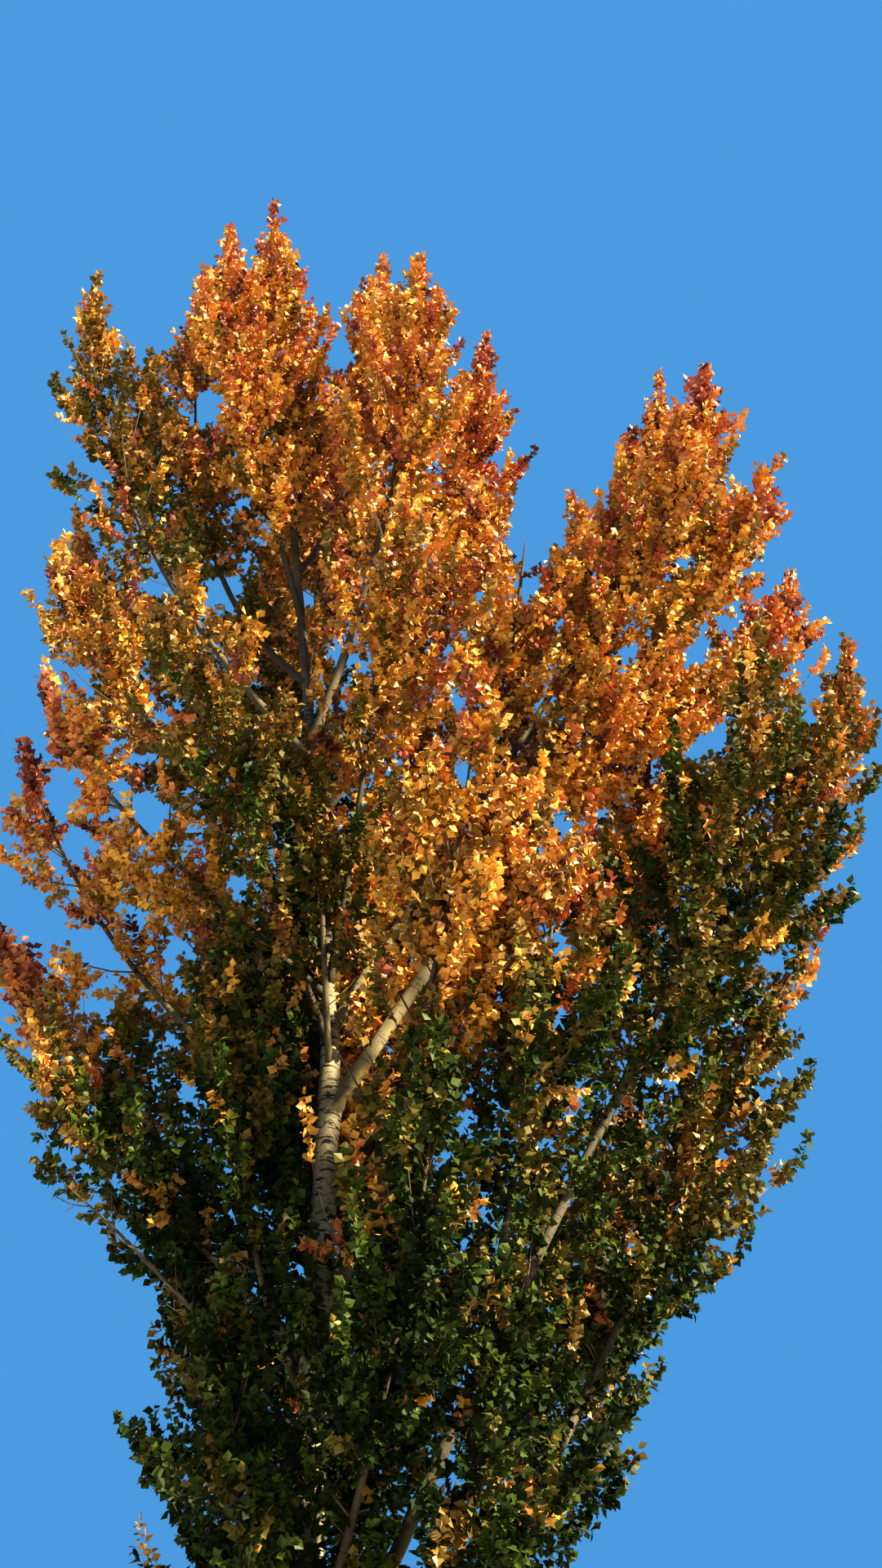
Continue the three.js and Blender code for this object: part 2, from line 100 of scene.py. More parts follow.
def turned(start: Array, towards: Array, angle: Numbers) -> Array:
    """Turns unit vectors towards others that are square to them.

    Args:
        start: The vectors that turn.
        towards: The directions that they turn towards.
        angle: How far they turn, in radians, one for all or one each.

    Returns:
        The turned unit vectors.
    """
    angle = np.asarray(angle, float)[..., None]
    return start * np.cos(angle) + towards * np.sin(angle)


def square_to(vectors: Array, reference: Array) -> Array:
    """Gives unit vectors square to both the given ones and a reference."""
    return unit(np.cross(vectors, reference))


def park_miller(seed: int) -> Iterator[float]:
    """Gives the source's own repeatable stream of numbers.

    Args:
        seed: Where the stream starts.

    Returns:
        The numbers, from 0 to 1.
    """
    modulus = 2147483647
    multiplier = 48271
    state = seed
    while True:
        state = state * multiplier % modulus
        yield state / modulus


@dataclass(frozen=True)
class Trunk:
    """The trunk's line and girth by height, as its solid has them."""

    end: float = 15.6
    fork_height: float = 8.5
    lean: float = 0.118
    lean_ease: float = 1.2
    butt_radius: float = 0.158
    taper_below_fork: float = 0.0078
    radius_above_fork: float = 0.0805
    taper_above_fork: float = 0.0051
    fork_swell_height: float = 0.5
    whorl_height: float = 9.08
    radius_above_whorl: float = 0.06
    taper_above_whorl: float = 0.0032
    whorl_swell_height: float = 0.26
    flare_reach: float = 0.13
    flare_height: float = 0.28
    flare_ribs: int = 5
    flare_rib_share: float = 0.38
    swell_reach: float = 0.034
    swell_height: float = 1.1

    def point(self, height: Numbers) -> Array:
        """Gives points of the middle line.

        Args:
            height: The heights.

        Returns:
            A point for each.
        """
        height = np.asarray(height, float)
        over = np.maximum(0, height - self.fork_height)
        run = self.lean * over * over / (over + self.lean_ease)
        return np.stack([-run, np.zeros_like(run), height], axis=-1)

    def tangent(self, height: Numbers) -> Array:
        """Gives the direction of the middle line at some heights."""
        step = 0.01
        return unit(self.point(np.asarray(height) + step) - self.point(np.asarray(height) - step))

    def radius(self, height: Array, angle: Numbers) -> Array:
        """Gives the radius with the root flare.

        Args:
            height: Heights on the trunk.
            angle: Angles round it, one for all or one each.

        Returns:
            The radius at each.
        """
        low = self.butt_radius - self.taper_below_fork * height
        middle = self.radius_above_fork - self.taper_above_fork * (height - self.fork_height)
        high = self.radius_above_whorl - self.taper_above_whorl * (height - self.whorl_height)
        past_fork = smoothstep(height, self.fork_height, self.fork_height + self.fork_swell_height)
        past_whorl = smoothstep(height, self.whorl_height, self.whorl_height + self.whorl_swell_height)
        ribs = 1 + self.flare_rib_share * np.cos(self.flare_ribs * angle)
        flare = self.flare_reach * np.exp(-height / self.flare_height) * ribs
        swell = self.swell_reach * np.exp(-height / self.swell_height)
        return lerp(lerp(low, middle, past_fork), high, past_whorl) + flare + swell


@dataclass(frozen=True)
class LimbLine:
    """The middle line of a limb: a cubic Bezier curve through its four corners."""

    corners: Array

    def point(self, share: Numbers) -> Array:
        """Gives the points at some shares of the curve."""
        (a, b, c, d), t = self.corners, np.asarray(share, float)[..., None]
        return (1 - t) ** 3 * a + 3 * (1 - t) ** 2 * t * b + 3 * (1 - t) * t**2 * c + t**3 * d

    def tangent(self, share: Numbers) -> Array:
        """Gives the directions at some shares of the curve."""
        (a, b, c, d), t = self.corners, np.asarray(share, float)[..., None]
        return unit((1 - t) ** 2 * (b - a) + 2 * (1 - t) * t * (c - b) + t**2 * (d - c))

    def length(self) -> float:
        """Measures the curve."""
        points = self.point(np.linspace(0, 1, 201))
        return float(np.linalg.norm(np.diff(points, axis=0), axis=1).sum())


@dataclass(frozen=True)
class Limb:
    """One limb of the crown and the mass of foliage that it carries.

    Attributes:
        name: The limb's name, which its nodes hold.
        host: What it grows from, the trunk or another limb.
        at: The height on the trunk, or the share of the host limb, where it starts.
        fork: Degrees between the host and the limb's foot.
        lean: Degrees off upright at its tip.
        bare: The share of the limb below its foliage.
        bough: Whether that share is a bough of its own.
        reach: Distance of its tip from the origin, level.
        bearing: Degrees of its tip from +X towards +Y.
        top: Height of its tip.
        girth: Radius at its foot.
        breadth: Half-width of its foliage.
        tint: How far leaves have turned at the foot and tip of its foliage: 0 is green and 1 russet. The low
            and inner masses have low tints, partly for their own green leaves and partly as painted shade of
            the crown.
        open: The share of its foliage that gaps take.
        ends: The share of its foliage, from its foot, above which the sky shows in its place.
    """

    name: str
    host: str
    at: float
    fork: float
    lean: float
    reach: float
    bearing: float
    top: float
    girth: float
    bare: float = 0
    bough: bool = False
    breadth: float = 0
    tint: Pair = (0, 0)
    open: float = 0.12
    ends: float = 1

    def share_at(self, along: Array) -> Array:
        """Turns shares of the whole limb into shares of its foliage, below 0 where the limb is bare."""
        return (along - self.bare) / (1 - self.bare)

    @property
    def leafy_node(self) -> str:
        """The solid of its foliage."""
        return f"foliage_{self.name}"


# The low tints of the low and inner masses darken their leaves: partly green leaves, partly painted shade of
# the crown.
LIMBS = (
    Limb("leader", TRUNK, at=15.54, fork=0, lean=4, reach=1.38, bearing=180, top=22.3, girth=0.038,
         breadth=0.76, tint=(0.56, 0.8)),
    Limb("top_left", TRUNK, at=14.2, fork=30, lean=3, bare=0.22, reach=1.99, bearing=214, top=19.85,
         girth=0.036, breadth=0.64, tint=(0.54, 0.76)),
    Limb("top_left_outer", TRUNK, at=13.2, fork=34, lean=4, bare=0.28, reach=2.39, bearing=168, top=21.25,
         girth=0.038, breadth=0.68, tint=(0.36, 0.7), open=0.2),
    Limb("top_middle", TRUNK, at=14.85, fork=30, lean=3, bare=0.28, reach=0.61, bearing=78, top=22,
         girth=0.036, breadth=0.66, tint=(0.56, 0.74)),
    Limb("top_right", TRUNK, at=12.4, fork=31, lean=3, bare=0.3, bough=True, reach=1.39, bearing=-60,
         top=19.05, girth=0.048, breadth=0.86, tint=(0.57, 0.73)),
    Limb("top_right_outer", TRUNK, at=11.4, fork=34, lean=8, bare=0.33, reach=1.78, bearing=30, top=20.5,
         girth=0.044, breadth=0.82, tint=(0.56, 0.73), open=0.16),
    Limb("top_back", TRUNK, at=12.9, fork=34, lean=6, bare=0.28, reach=2.5, bearing=112, top=21.25,
         girth=0.04, breadth=0.84, tint=(0.46, 0.68)),
    Limb("left_spire", TRUNK, at=12.15, fork=38, lean=4, bare=0.36, bough=True, reach=3.41, bearing=190,
         top=19.6, girth=0.046, breadth=0.74, tint=(0.28, 0.55), open=0.5),
    Limb("left_spire_inner", "left_spire", at=0.33, fork=26, lean=3, bare=0.22, bough=True, reach=3.19,
         bearing=158, top=20.45, girth=0.026, breadth=0.62, tint=(0.3, 0.55), open=0.48),
    Limb("left_high", TRUNK, at=11.7, fork=45, lean=12, bare=0.3, reach=4.08, bearing=155, top=17.75,
         girth=0.038, breadth=0.7, tint=(0.34, 0.58), open=0.45),
    Limb("left_upper", TRUNK, at=10.7, fork=50, lean=20, bare=0.27, reach=3.14, bearing=191, top=14.55,
         girth=0.038, breadth=0.78, tint=(0.4, 0.6), open=0.36),
    Limb("left_middle", TRUNK, at=9.4, fork=52, lean=25, bare=0.27, reach=2.95, bearing=206, top=11.9,
         girth=0.036, breadth=0.74, tint=(0.5, 0.74), open=0.34),
    Limb("left_far", TRUNK, at=8.05, fork=52, lean=20, bare=0.4, bough=True, reach=3.51, bearing=167, top=13,
         girth=0.04, breadth=0.7, tint=(0.5, 0.95), open=0.45),
    Limb("left_wide", TRUNK, at=6.9, fork=52, lean=30, bare=0.32, reach=3.1, bearing=178, top=10.2,
         girth=0.04, breadth=0.7, tint=(0.1, 1.02), open=0.26),
    Limb("left_low", TRUNK, at=6.2, fork=46, lean=30, bare=0.26, reach=2.37, bearing=197, top=8.45,
         girth=0.034, breadth=0.58, tint=(0.08, 0.3)),
    Limb("left_lowest", TRUNK, at=4.3, fork=45, lean=20, bare=0.26, reach=1.51, bearing=143, top=8.1,
         girth=0.034, breadth=0.7, tint=(0.04, 0.16)),
    Limb("front_left", TRUNK, at=8.9, fork=45, lean=10, bare=0.26, reach=2.56, bearing=239, top=12.6,
         girth=0.038, breadth=0.82, tint=(0.28, 0.5)),
    Limb("front_high", TRUNK, at=9.5, fork=34, lean=6, bare=0.34, reach=2, bearing=-76, top=14.1, girth=0.036,
         breadth=0.88, tint=(0.5, 0.62)),
    Limb("back_high", TRUNK, at=11, fork=38, lean=8, bare=0.3, reach=3.35, bearing=114, top=19, girth=0.042,
         breadth=0.9, tint=(0.25, 0.55), open=0.2),
    Limb("right_stem", TRUNK, at=8.25, fork=29, lean=28, bare=0.58, bough=True, reach=4.79, bearing=-2,
         top=16.55, girth=0.068, breadth=0.78, tint=(0.54, 0.72)),
    Limb("right_inner", TRUNK, at=9.04, fork=28, lean=4, bare=0.42, bough=True, reach=3.87, bearing=12,
         top=19.5, girth=0.052, breadth=0.86, tint=(0.54, 0.7)),
    Limb("right_spire", "right_stem", at=0.5, fork=26, lean=4, bare=0.22, bough=True, reach=4.04, bearing=-13,
         top=17.25, girth=0.028, breadth=0.7, tint=(0.54, 0.74)),
    Limb("right_edge", "right_stem", at=0.48, fork=30, lean=8, bare=0.22, bough=True, reach=5.33, bearing=16,
         top=16.3, girth=0.03, breadth=0.76, tint=(0.5, 0.76), open=0.2),
    Limb("right_centre", "right_inner", at=0.24, fork=14, lean=4, bare=0.26, bough=True, reach=2.18,
         bearing=-30, top=15.8, girth=0.036, breadth=0.88, tint=(0.54, 0.62), ends=0.62),
    Limb("right_side", "right_stem", at=0.14, fork=34, lean=14, bare=0.28, bough=True, reach=3.73, bearing=25,
         top=12.95, girth=0.032, breadth=0.8, tint=(0.5, 0.46)),
    Limb("low_right", TRUNK, at=3.3, fork=20, lean=8, bare=0.5, bough=True, reach=4.15, bearing=-15,
         top=12.85, girth=0.066, breadth=0.9, tint=(0.12, 0.36)),
    Limb("low_right_outer", "low_right", at=0.48, fork=24, lean=8, bare=0.2, bough=True, reach=5.06,
         bearing=-3, top=13.45, girth=0.034, breadth=0.8, tint=(0.1, 0.45)),
    Limb("low_right_inner", "low_right", at=0.28, fork=20, lean=4, bare=0.22, bough=True, reach=2.6,
         bearing=-44, top=10.05, girth=0.034, breadth=0.86, tint=(0.06, 0.62)),
    Limb("lowest_right", TRUNK, at=2.9, fork=39, lean=34, bare=0.42, bough=True, reach=4.45, bearing=5,
         top=10.4, girth=0.06, breadth=0.86, tint=(0.14, 0.36)),
    Limb("back_right_low", "lowest_right", at=0.26, fork=30, lean=10, bare=0.24, bough=True, reach=3.8,
         bearing=42, top=9.9, girth=0.032, breadth=0.92, tint=(0.2, 0.45)),
    Limb("front_low", TRUNK, at=3.9, fork=45, lean=10, bare=0.24, reach=2.38, bearing=-67, top=7.65,
         girth=0.038, breadth=0.86, tint=(0, 0.14)),
    Limb("front_low_right", TRUNK, at=2.65, fork=44, lean=12, bare=0.26, reach=2.22, bearing=-43, top=6.85,
         girth=0.034, breadth=0.82, tint=(0.02, 0.12)),
    Limb("front_right", TRUNK, at=6.2, fork=45, lean=8, bare=0.26, reach=2.5, bearing=-60, top=11.25,
         girth=0.038, breadth=0.94, tint=(0.42, 0.64)),
    Limb("front_low_left", TRUNK, at=3.2, fork=45, lean=10, bare=0.24, reach=1.4, bearing=248, top=6.4,
         girth=0.034, breadth=0.68, tint=(0, 0.1)),
    Limb("back_low", TRUNK, at=4.6, fork=45, lean=12, bare=0.26, reach=3.3, bearing=82, top=10.1, girth=0.04,
         breadth=0.98, tint=(0.02, 0.2)),
    Limb("back_left", TRUNK, at=7.4, fork=42, lean=10, bare=0.28, reach=3.5, bearing=120, top=13.7,
         girth=0.04, breadth=0.94, tint=(0.12, 0.8), open=0.2),
    Limb("back_right", TRUNK, at=9.6, fork=40, lean=10, bare=0.28, reach=3.3, bearing=68, top=16, girth=0.04,
         breadth=0.96, tint=(0.62, 0.84)),
    Limb("left_inner", TRUNK, at=5.8, fork=38, lean=5, bare=0.2, reach=0.96, bearing=216, top=10, girth=0.034,
         breadth=0.7, tint=(0.04, 0.26)),
    Limb("front_middle", TRUNK, at=8.65, fork=42, lean=4, bare=0.24, reach=1.08, bearing=262, top=11.9,
         girth=0.032, breadth=0.66, tint=(0.16, 0.34)),
    Limb("centre_rise", "right_inner", at=0.3, fork=20, lean=4, bare=0.16, bough=True, reach=2.27, bearing=14,
         top=15.6, girth=0.03, breadth=0.82, tint=(0.54, 0.64)),
    Limb("right_rise", "right_stem", at=0.4, fork=22, lean=5, bare=0.16, bough=True, reach=3.15, bearing=-11,
         top=14.9, girth=0.028, breadth=0.8, tint=(0.52, 0.64)),
)
DEAD_LIMB = Limb("dead_limb", TRUNK, at=5.55, fork=46, lean=58, reach=2.14, bearing=202, top=7.33,
                 girth=0.026)


FLAME_RISE = 0.62  # below 1, a mass is widest low down
FLAME_ROUNDNESS = 0.75
FLAME_LEAST = 0.16
FLAME_WIDTH = 1.1
FLAME_TAPER = 0.35
LEAFY_FROM = 0.45  # the share of a limb's bare length where thin leafy twigs begin
INNER_TO = 0.1  # the share of a mass up to where they close it
INNER_FULLNESS = 0.62  # how wide they spread there, as a share of the mass's breadth
SEED_STEP = 7919  # between the source's streams of chances, one for each mass
SEED_START = 104729


def flame(share: Numbers) -> Array:
    """Gives the half-width of a mass, as a share of its breadth.

    Args:
        share: Places from 0 at the foot of the foliage to 1 at its tip.

    Returns:
        The half-width at each.
    """
    share = np.clip(share, 0, 1)
    swell = np.sin(np.pi * share**FLAME_RISE) ** FLAME_ROUNDNESS
    return np.maximum(FLAME_LEAST, FLAME_WIDTH * swell * (1 - FLAME_TAPER * share))


def fullness(share: Array) -> Array:
    """Gives the flame's half-width, and goes on below its foot, where inner twigs fill the crown."""
    return np.maximum(flame(share), np.where(share < INNER_TO, INNER_FULLNESS, 0))


@dataclass
class Skeleton:
    """The middle lines and radii of the trunk and of all limbs, worked out as the source does."""

    tip_radius: float = 0.009
    taper: float = 0.9
    collar_share: float = 0.45
    collar_length: float = 2.2
    launch_share: float = 0.35
    trunk: Trunk = field(default_factory=Trunk)
    lines: dict[str, LimbLine] = field(default_factory=dict)

    def __post_init__(self) -> None:
        """Works out each line, hosts before what grows from them."""
        for limb in (*LIMBS, DEAD_LIMB):
            self.lines[limb.name] = self.line_of(limb)

    def carrier(self, name: str) -> Trunk | LimbLine:
        """Gives the line of the trunk or of a limb, by its name."""
        return self.trunk if name == TRUNK else self.lines[name]

    def line_of(self, limb: Limb) -> LimbLine:
        """Works out a limb's line: it leaves at the fork angle and turns upright towards the tip.

        Args:
            limb: The limb, whose host's line is known.

        Returns:
            The limb's middle line.
        """
        host = self.carrier(limb.host)
        start = host.point(limb.at)
        along = host.tangent(limb.at)
        bearing = math.radians(limb.bearing)
        tip = np.array([limb.reach * math.cos(bearing), limb.reach * math.sin(bearing), limb.top])
        chord = tip - start
        outward = unit(chord - along * (chord @ along))
        level = unit(chord * (1, 1, 0))
        carry = np.linalg.norm(chord) * self.launch_share
        first = start + turned(along, outward, math.radians(limb.fork)) * carry
        last = tip - turned(UP, level, math.radians(limb.lean)) * carry
        return LimbLine(np.array([start, first, last, tip]))

    def radius(self, limb: Limb, share: Array) -> Array:
        """Gives a limb's radius, with the collar that swells at its foot.

        Args:
            limb: The limb.
            share: Shares of its line.

        Returns:
            The radius at each.
        """
        length = self.lines[limb.name].length()
        collar = 0 if limb.fork == 0 else np.exp(-share * length / (self.collar_length * limb.girth))
        taper = lerp(limb.girth, self.tip_radius, share**self.taper)
        return taper + limb.girth * self.collar_share * collar


@dataclass
class OwnSpaces:
    """The space of each mass: balls along its stem, and in them the places nearer to it than to any other."""

    skeleton: Skeleton
    samples: int = 18
    margin: float = 0.02
    batch: int = 4096
    centres: Array = field(init=False)
    radii: Array = field(init=False)

    def __post_init__(self) -> None:
        """Places the balls of every mass."""
        lines = self.skeleton.lines
        along = [np.linspace(limb.bare * LEAFY_FROM, 1, self.samples) for limb in LIMBS]
        self.centres = np.array([lines[limb.name].point(t) for limb, t in zip(LIMBS, along)])
        self.radii = np.array([limb.breadth * fullness(limb.share_at(t)) for limb, t in zip(LIMBS, along)])

    def depths(self, points: Array) -> Array:
        """Gives how deep points lie in the masses.

        Args:
            points: The points.

        Returns:
            For each point and mass, 0 at the mass's middle line and 1 at its edge.
        """
        parts = []
        for start in range(0, len(points), self.batch):
            apart = points[start:start + self.batch, None, None] - self.centres
            parts.append((np.sqrt((apart**2).sum(-1)) / self.radii).min(-1))
        return np.concatenate(parts) if parts else np.zeros((0, len(LIMBS)))

    def holds(self, mass: int, points: Array, edge: Array) -> Array:
        """Tells which points lie in a mass's own space.

        Args:
            mass: Its place in LIMBS.
            points: The points to test.
            edge: How far out each may lie, as a share of the way to the edge.

        Returns:
            True for each point that the mass may hold.
        """
        depths = self.depths(points)
        own = depths[:, mass].copy()
        depths[:, mass] = np.inf
        return (own <= edge) & (depths.min(-1) > own + self.margin)


@dataclass
class LimbSpace:
    """The room that the trunk and the limbs take, which no leafy shoot of another mass may enter."""

    skeleton: Skeleton
    step: float = 0.06
    clearance: float = 0.07
    tree: kdtree.KDTree = field(init=False)
    owners: list[int] = field(init=False)
    radii: Array = field(init=False)

    def __post_init__(self) -> None:
        """Samples every middle line."""
        trunk = self.skeleton.trunk
        heights = np.arange(0, trunk.end, self.step)
        parts = [(-1, trunk.point(heights), trunk.radius(heights, 0))]
        for owner, limb in enumerate(LIMBS):
            line = self.skeleton.lines[limb.name]
            shares = np.linspace(0, 1, max(2, round(line.length() / self.step)))
            parts.append((owner, line.point(shares), self.skeleton.radius(limb, shares)))
        self.owners = [owner for owner, points, _ in parts for _ in points]
        self.radii = np.concatenate([radii for *_, radii in parts])
        self.tree = kdtree.KDTree(len(self.radii))
        for index, point in enumerate(np.concatenate([points for _, points, _ in parts])):
            self.tree.insert(point, index)
        self.tree.balance()

    def clear(self, mass: int, points: Array) -> Array:
        """Tells which points stand clear of the trunk and of the limbs.

        Args:
            mass: The mass whose own limb doesn't count, by its place in LIMBS, or -1 for the trunk.
            points: The points.

        Returns:
            True for each that stands clear.
        """
        result = np.ones(len(points), bool)
        for i, point in enumerate(points):
            _, index, distance = self.tree.find(point)
            if self.owners[index] != mass:
                result[i] = distance > self.radii[index] + self.clearance
        return result


@dataclass(frozen=True)
class Parting:
    """A stretch of the trunk or of a limb that shows between the leaves, from the ground in front.

    Attributes:
        limb: What shows.
        start: Where the stretch starts, as a height on the trunk or a share of a limb.
        end: Where it ends.
        width: Half-width of the gap, in radians as seen from the eye.
    """

    limb: str
    start: float
    end: float
    width: float


@dataclass(frozen=True)
class Window:
    """A gap right through the crown, where the sky shows from the ground in front.

    Attributes:
        x: Its place in the upright plane through the trunk.
        z: Its height there.
        radius: Half its width.
    """

    x: float
    z: float
    radius: float


@dataclass
class Partings:
    """The gaps in the foliage through which the trunk, some limbs and the sky show."""

    skeleton: Skeleton
    samples: int = 40
    places: tuple[Parting, ...] = (
        Parting(TRUNK, 7.25, 7.9, 0.0095),
        Parting(TRUNK, 7.9, 9.12, 0.0115),
        Parting(TRUNK, 9.3, 10.3, 0.0055),
        Parting(TRUNK, 12.4, 15.5, 0.0042),
        Parting("right_stem", 0, 0.17, 0.0095),
        Parting("right_inner", 0.02, 0.42, 0.0045),
        Parting("top_right", 0.03, 0.5, 0.004),
        Parting("left_spire", 0.1, 0.4, 0.0035),
        Parting("low_right", 0.14, 0.2, 0.0035),
        Parting("low_right", 0.33, 0.4, 0.0035),
        Parting("lowest_right", 0.4, 0.5, 0.0035),
    )
    windows: tuple[Window, ...] = (
        Window(1.97, 16.1, 0.19), Window(1.91, 15.35, 0.14), Window(1.85, 14.6, 0.08),
        Window(-1.96, 17.7, 0.14), Window(-1.39, 14.55, 0.12), Window(-1.82, 12.8, 0.07),
        Window(-0.51, 14.4, 0.05), Window(-0.14, 13.6, 0.05), Window(1.2, 12.85, 0.06),
        Window(1.15, 12.0, 0.07), Window(2.05, 11.4, 0.06), Window(1.87, 11.0, 0.03),
        Window(1.92, 10.05, 0.1), Window(2.85, 13.55, 0.07), Window(3.55, 12.35, 0.1),
        Window(3.54, 13.6, 0.07), Window(4.47, 9.6, 0.11), Window(4.8, 10.8, 0.09),
        Window(3.95, 9.2, 0.06), Window(-2.68, 11.7, 0.13), Window(-2.46, 11.1, 0.11),
        Window(-2.59, 10.15, 0.16), Window(-2.17, 10.0, 0.1), Window(-1.82, 11.45, 0.08),
        Window(-0.93, 10.6, 0.06),
    )
    frayed_edge: float = 0.085
    directions: Array = field(init=False)
    distances: Array = field(init=False)
    widths: Array = field(init=False)

    def __post_init__(self) -> None:
        """Works out where each stretch and each window lies as seen from the eye."""
        groups = []
        for place in self.places:
            line = self.skeleton.carrier(place.limb)
            groups.append(line.point(np.linspace(place.start, place.end, self.samples)))
        self.directions, self.distances = self.seen(np.concatenate(groups))
        self.widths = np.repeat([place.width for place in self.places], self.samples)
        directions, distances = self.seen(np.array([(window.x, 0, window.z) for window in self.windows]))
        widths = (np.array([window.radius for window in self.windows]) + self.frayed_edge) / distances
        self.directions = np.concatenate([self.directions, directions])
        self.distances = np.concatenate([self.distances, np.full(len(widths), np.inf)])
        self.widths = np.concatenate([self.widths, widths])

    def seen(self, points: Array) -> tuple[Array, Array]:
        """Gives the directions and distances of points from the eye."""
        distances = np.linalg.norm(points - np.array(EYE), axis=1)
        return (points - np.array(EYE)) / distances[:, None], distances

    def in_window(self, points: Array) -> Array:
        """Tells which places stand in a window."""
        near = np.linalg.norm(self.seen(points)[0][:, None] - self.directions[-len(self.windows):], axis=2)
        return np.any(near < self.widths[-len(self.windows):], axis=1)

    def free(self, points: Array) -> Array:
        """Tells which places hide none of the stretches and stand in no window.

        Args:
            points: The places.

        Returns:
            True for each that hides nothing.
        """
        directions, distances = self.seen(points)
        near = np.linalg.norm(directions[:, None] - self.directions, axis=2) < self.widths
        return ~np.any(near & (distances[:, None] < self.distances), axis=1)


@dataclass
class Shoots:
    """Many bent shoots at once, each a curve from its root past its bend to its tip.

    Attributes:
        root: Where each shoot starts.
        bend: The corner that its line turns round.
        tip: Where it ends.
        radius: Its radius at the root.
        share: Its place along the stem of its mass, from 0 at the foot of the foliage to 1 at the tip.
    """

    root: Array
    bend: Array
    tip: Array
    radius: Array
    share: Array
    names: ClassVar[tuple[str, ...]] = ("root", "bend", "tip", "radius", "share")

    def __len__(self) -> int:
        """Counts the shoots."""
        return len(self.root)

    def point(self, t: Numbers) -> Array:
        """Gives one point on each shoot."""
        t = np.asarray(t, float)[..., None]
        return (1 - t) ** 2 * self.root + 2 * (1 - t) * t * self.bend + t**2 * self.tip

    def tangent(self, t: Numbers) -> Array:
        """Gives one direction on each shoot."""
        t = np.asarray(t, float)[..., None]
        return unit((1 - t) * (self.bend - self.root) + t * (self.tip - self.bend))

    def length(self) -> Array:
        """Measures each shoot along its two straight sides."""
        first = np.linalg.norm(self.bend - self.root, axis=1)
        return first + np.linalg.norm(self.tip - self.bend, axis=1)

    def kept(self, which: Array) -> "Shoots":
        """Gives the chosen shoots, by a mask or by their places."""
        return Shoots(*(getattr(self, name)[which] for name in self.names))

    def cut_at(self, t: Array) -> "Shoots":
        """Gives the shoots ended at a share of their length."""
        bend = lerp(self.root, self.bend, t[:, None])
        return Shoots(self.root, bend, self.point(t), self.radius, self.share)

    @staticmethod
    def joined(groups: list["Shoots"]) -> "Shoots":
        """Gives several groups of shoots as one."""
        return Shoots(*(np.concatenate([getattr(group, name) for group in groups]) for name in Shoots.names))


def shoots_from(carrier: Trunk | LimbLine | Shoots, place: Numbers, angle: Array, spread: Array,
                length: Array, lift: Numbers, radius: Array, share: Array) -> Shoots:
    """Grows one shoot from each place on what carries it.

    Args:
        carrier: What carries them: one line for all, or a shoot for each.
        place: Where each starts on it, as its point() takes it.
        angle: The angle of the shoot round its carrier's direction, in radians.
        spread: The angle between the shoot's foot and that direction, in radians.
        length: The shoot's length.
        lift: How strongly its outer half turns upright, one for all or one each.
        radius: Its radius at the root.
        share: Its place along the stem of its mass.

    Returns:
        The shoots.
    """
    root, along = carrier.point(place), carrier.tangent(place)
    lift = np.broadcast_to(lift, length.shape)[:, None]
    normal = square_to(along, AWAY)
    outward = turned(normal, np.cross(along, normal), angle)
    leaving = turned(along, outward, spread)
    half = length[:, None] / 2
    bend = root + leaving * half
    return Shoots(root, bend, bend + unit(leaving + UP * lift) * half, radius, share)


def dealt_along(counts: Array) -> tuple[Array, Array, Array]:
    """Deals out places along many carriers at once.

    Args:
        counts: How many places each carrier has.

    Returns:
        For each place, its carrier, its number on that carrier, and that number as a share from 0 to 1.
    """
    carrier = np.repeat(np.arange(len(counts)), counts)
    order = np.arange(len(carrier)) - np.repeat(np.cumsum(counts) - counts, counts)
    return carrier, order, order / (counts[carrier] - 1)


@dataclass(frozen=True)
class TwigRule:
    """How twigs or shoots stand along what carries them, from its foot to its tip.

    Attributes:
        spacing: Distance between two of them.
        lowest: The share of the carrier where the first one stands.
        highest: The share where the last one stands.
        spread_low: Degrees between the first one's foot and the carrier.
        spread_high: The same for the last one.
        lift: How strongly their outer half turns upright.
        radius: Radius of the first one at its root.
    """

    spacing: float
    lowest: float
    highest: float
    spread_low: float
    spread_high: float
    lift: float
    radius: float

    def spread(self, place: Array) -> Array:
        """Gives their angles with the carrier in radians, at places from 0 to 1 along it."""
        return np.radians(lerp(self.spread_low, self.spread_high, place))


@dataclass(frozen=True)
class InnerTwigs:
    """Thin leafy twigs on the bare part of the trunk or of a limb, which close the crown about it.

    Attributes:
        carrier: What carries them.
        start: Where they start, as a height on the trunk or a share of a limb.
        end: Where they end.
        count: How many there are.
        facing: The middle of their angles round the carrier, in degrees: 90 is towards the eye.
        sweep: How far their angles go either way, in degrees.
        reach: Their mean length.
    """

    carrier: str
    start: float
    end: float
    count: int
    facing: float = 270
    sweep: float = 180
    reach: float = 0.62


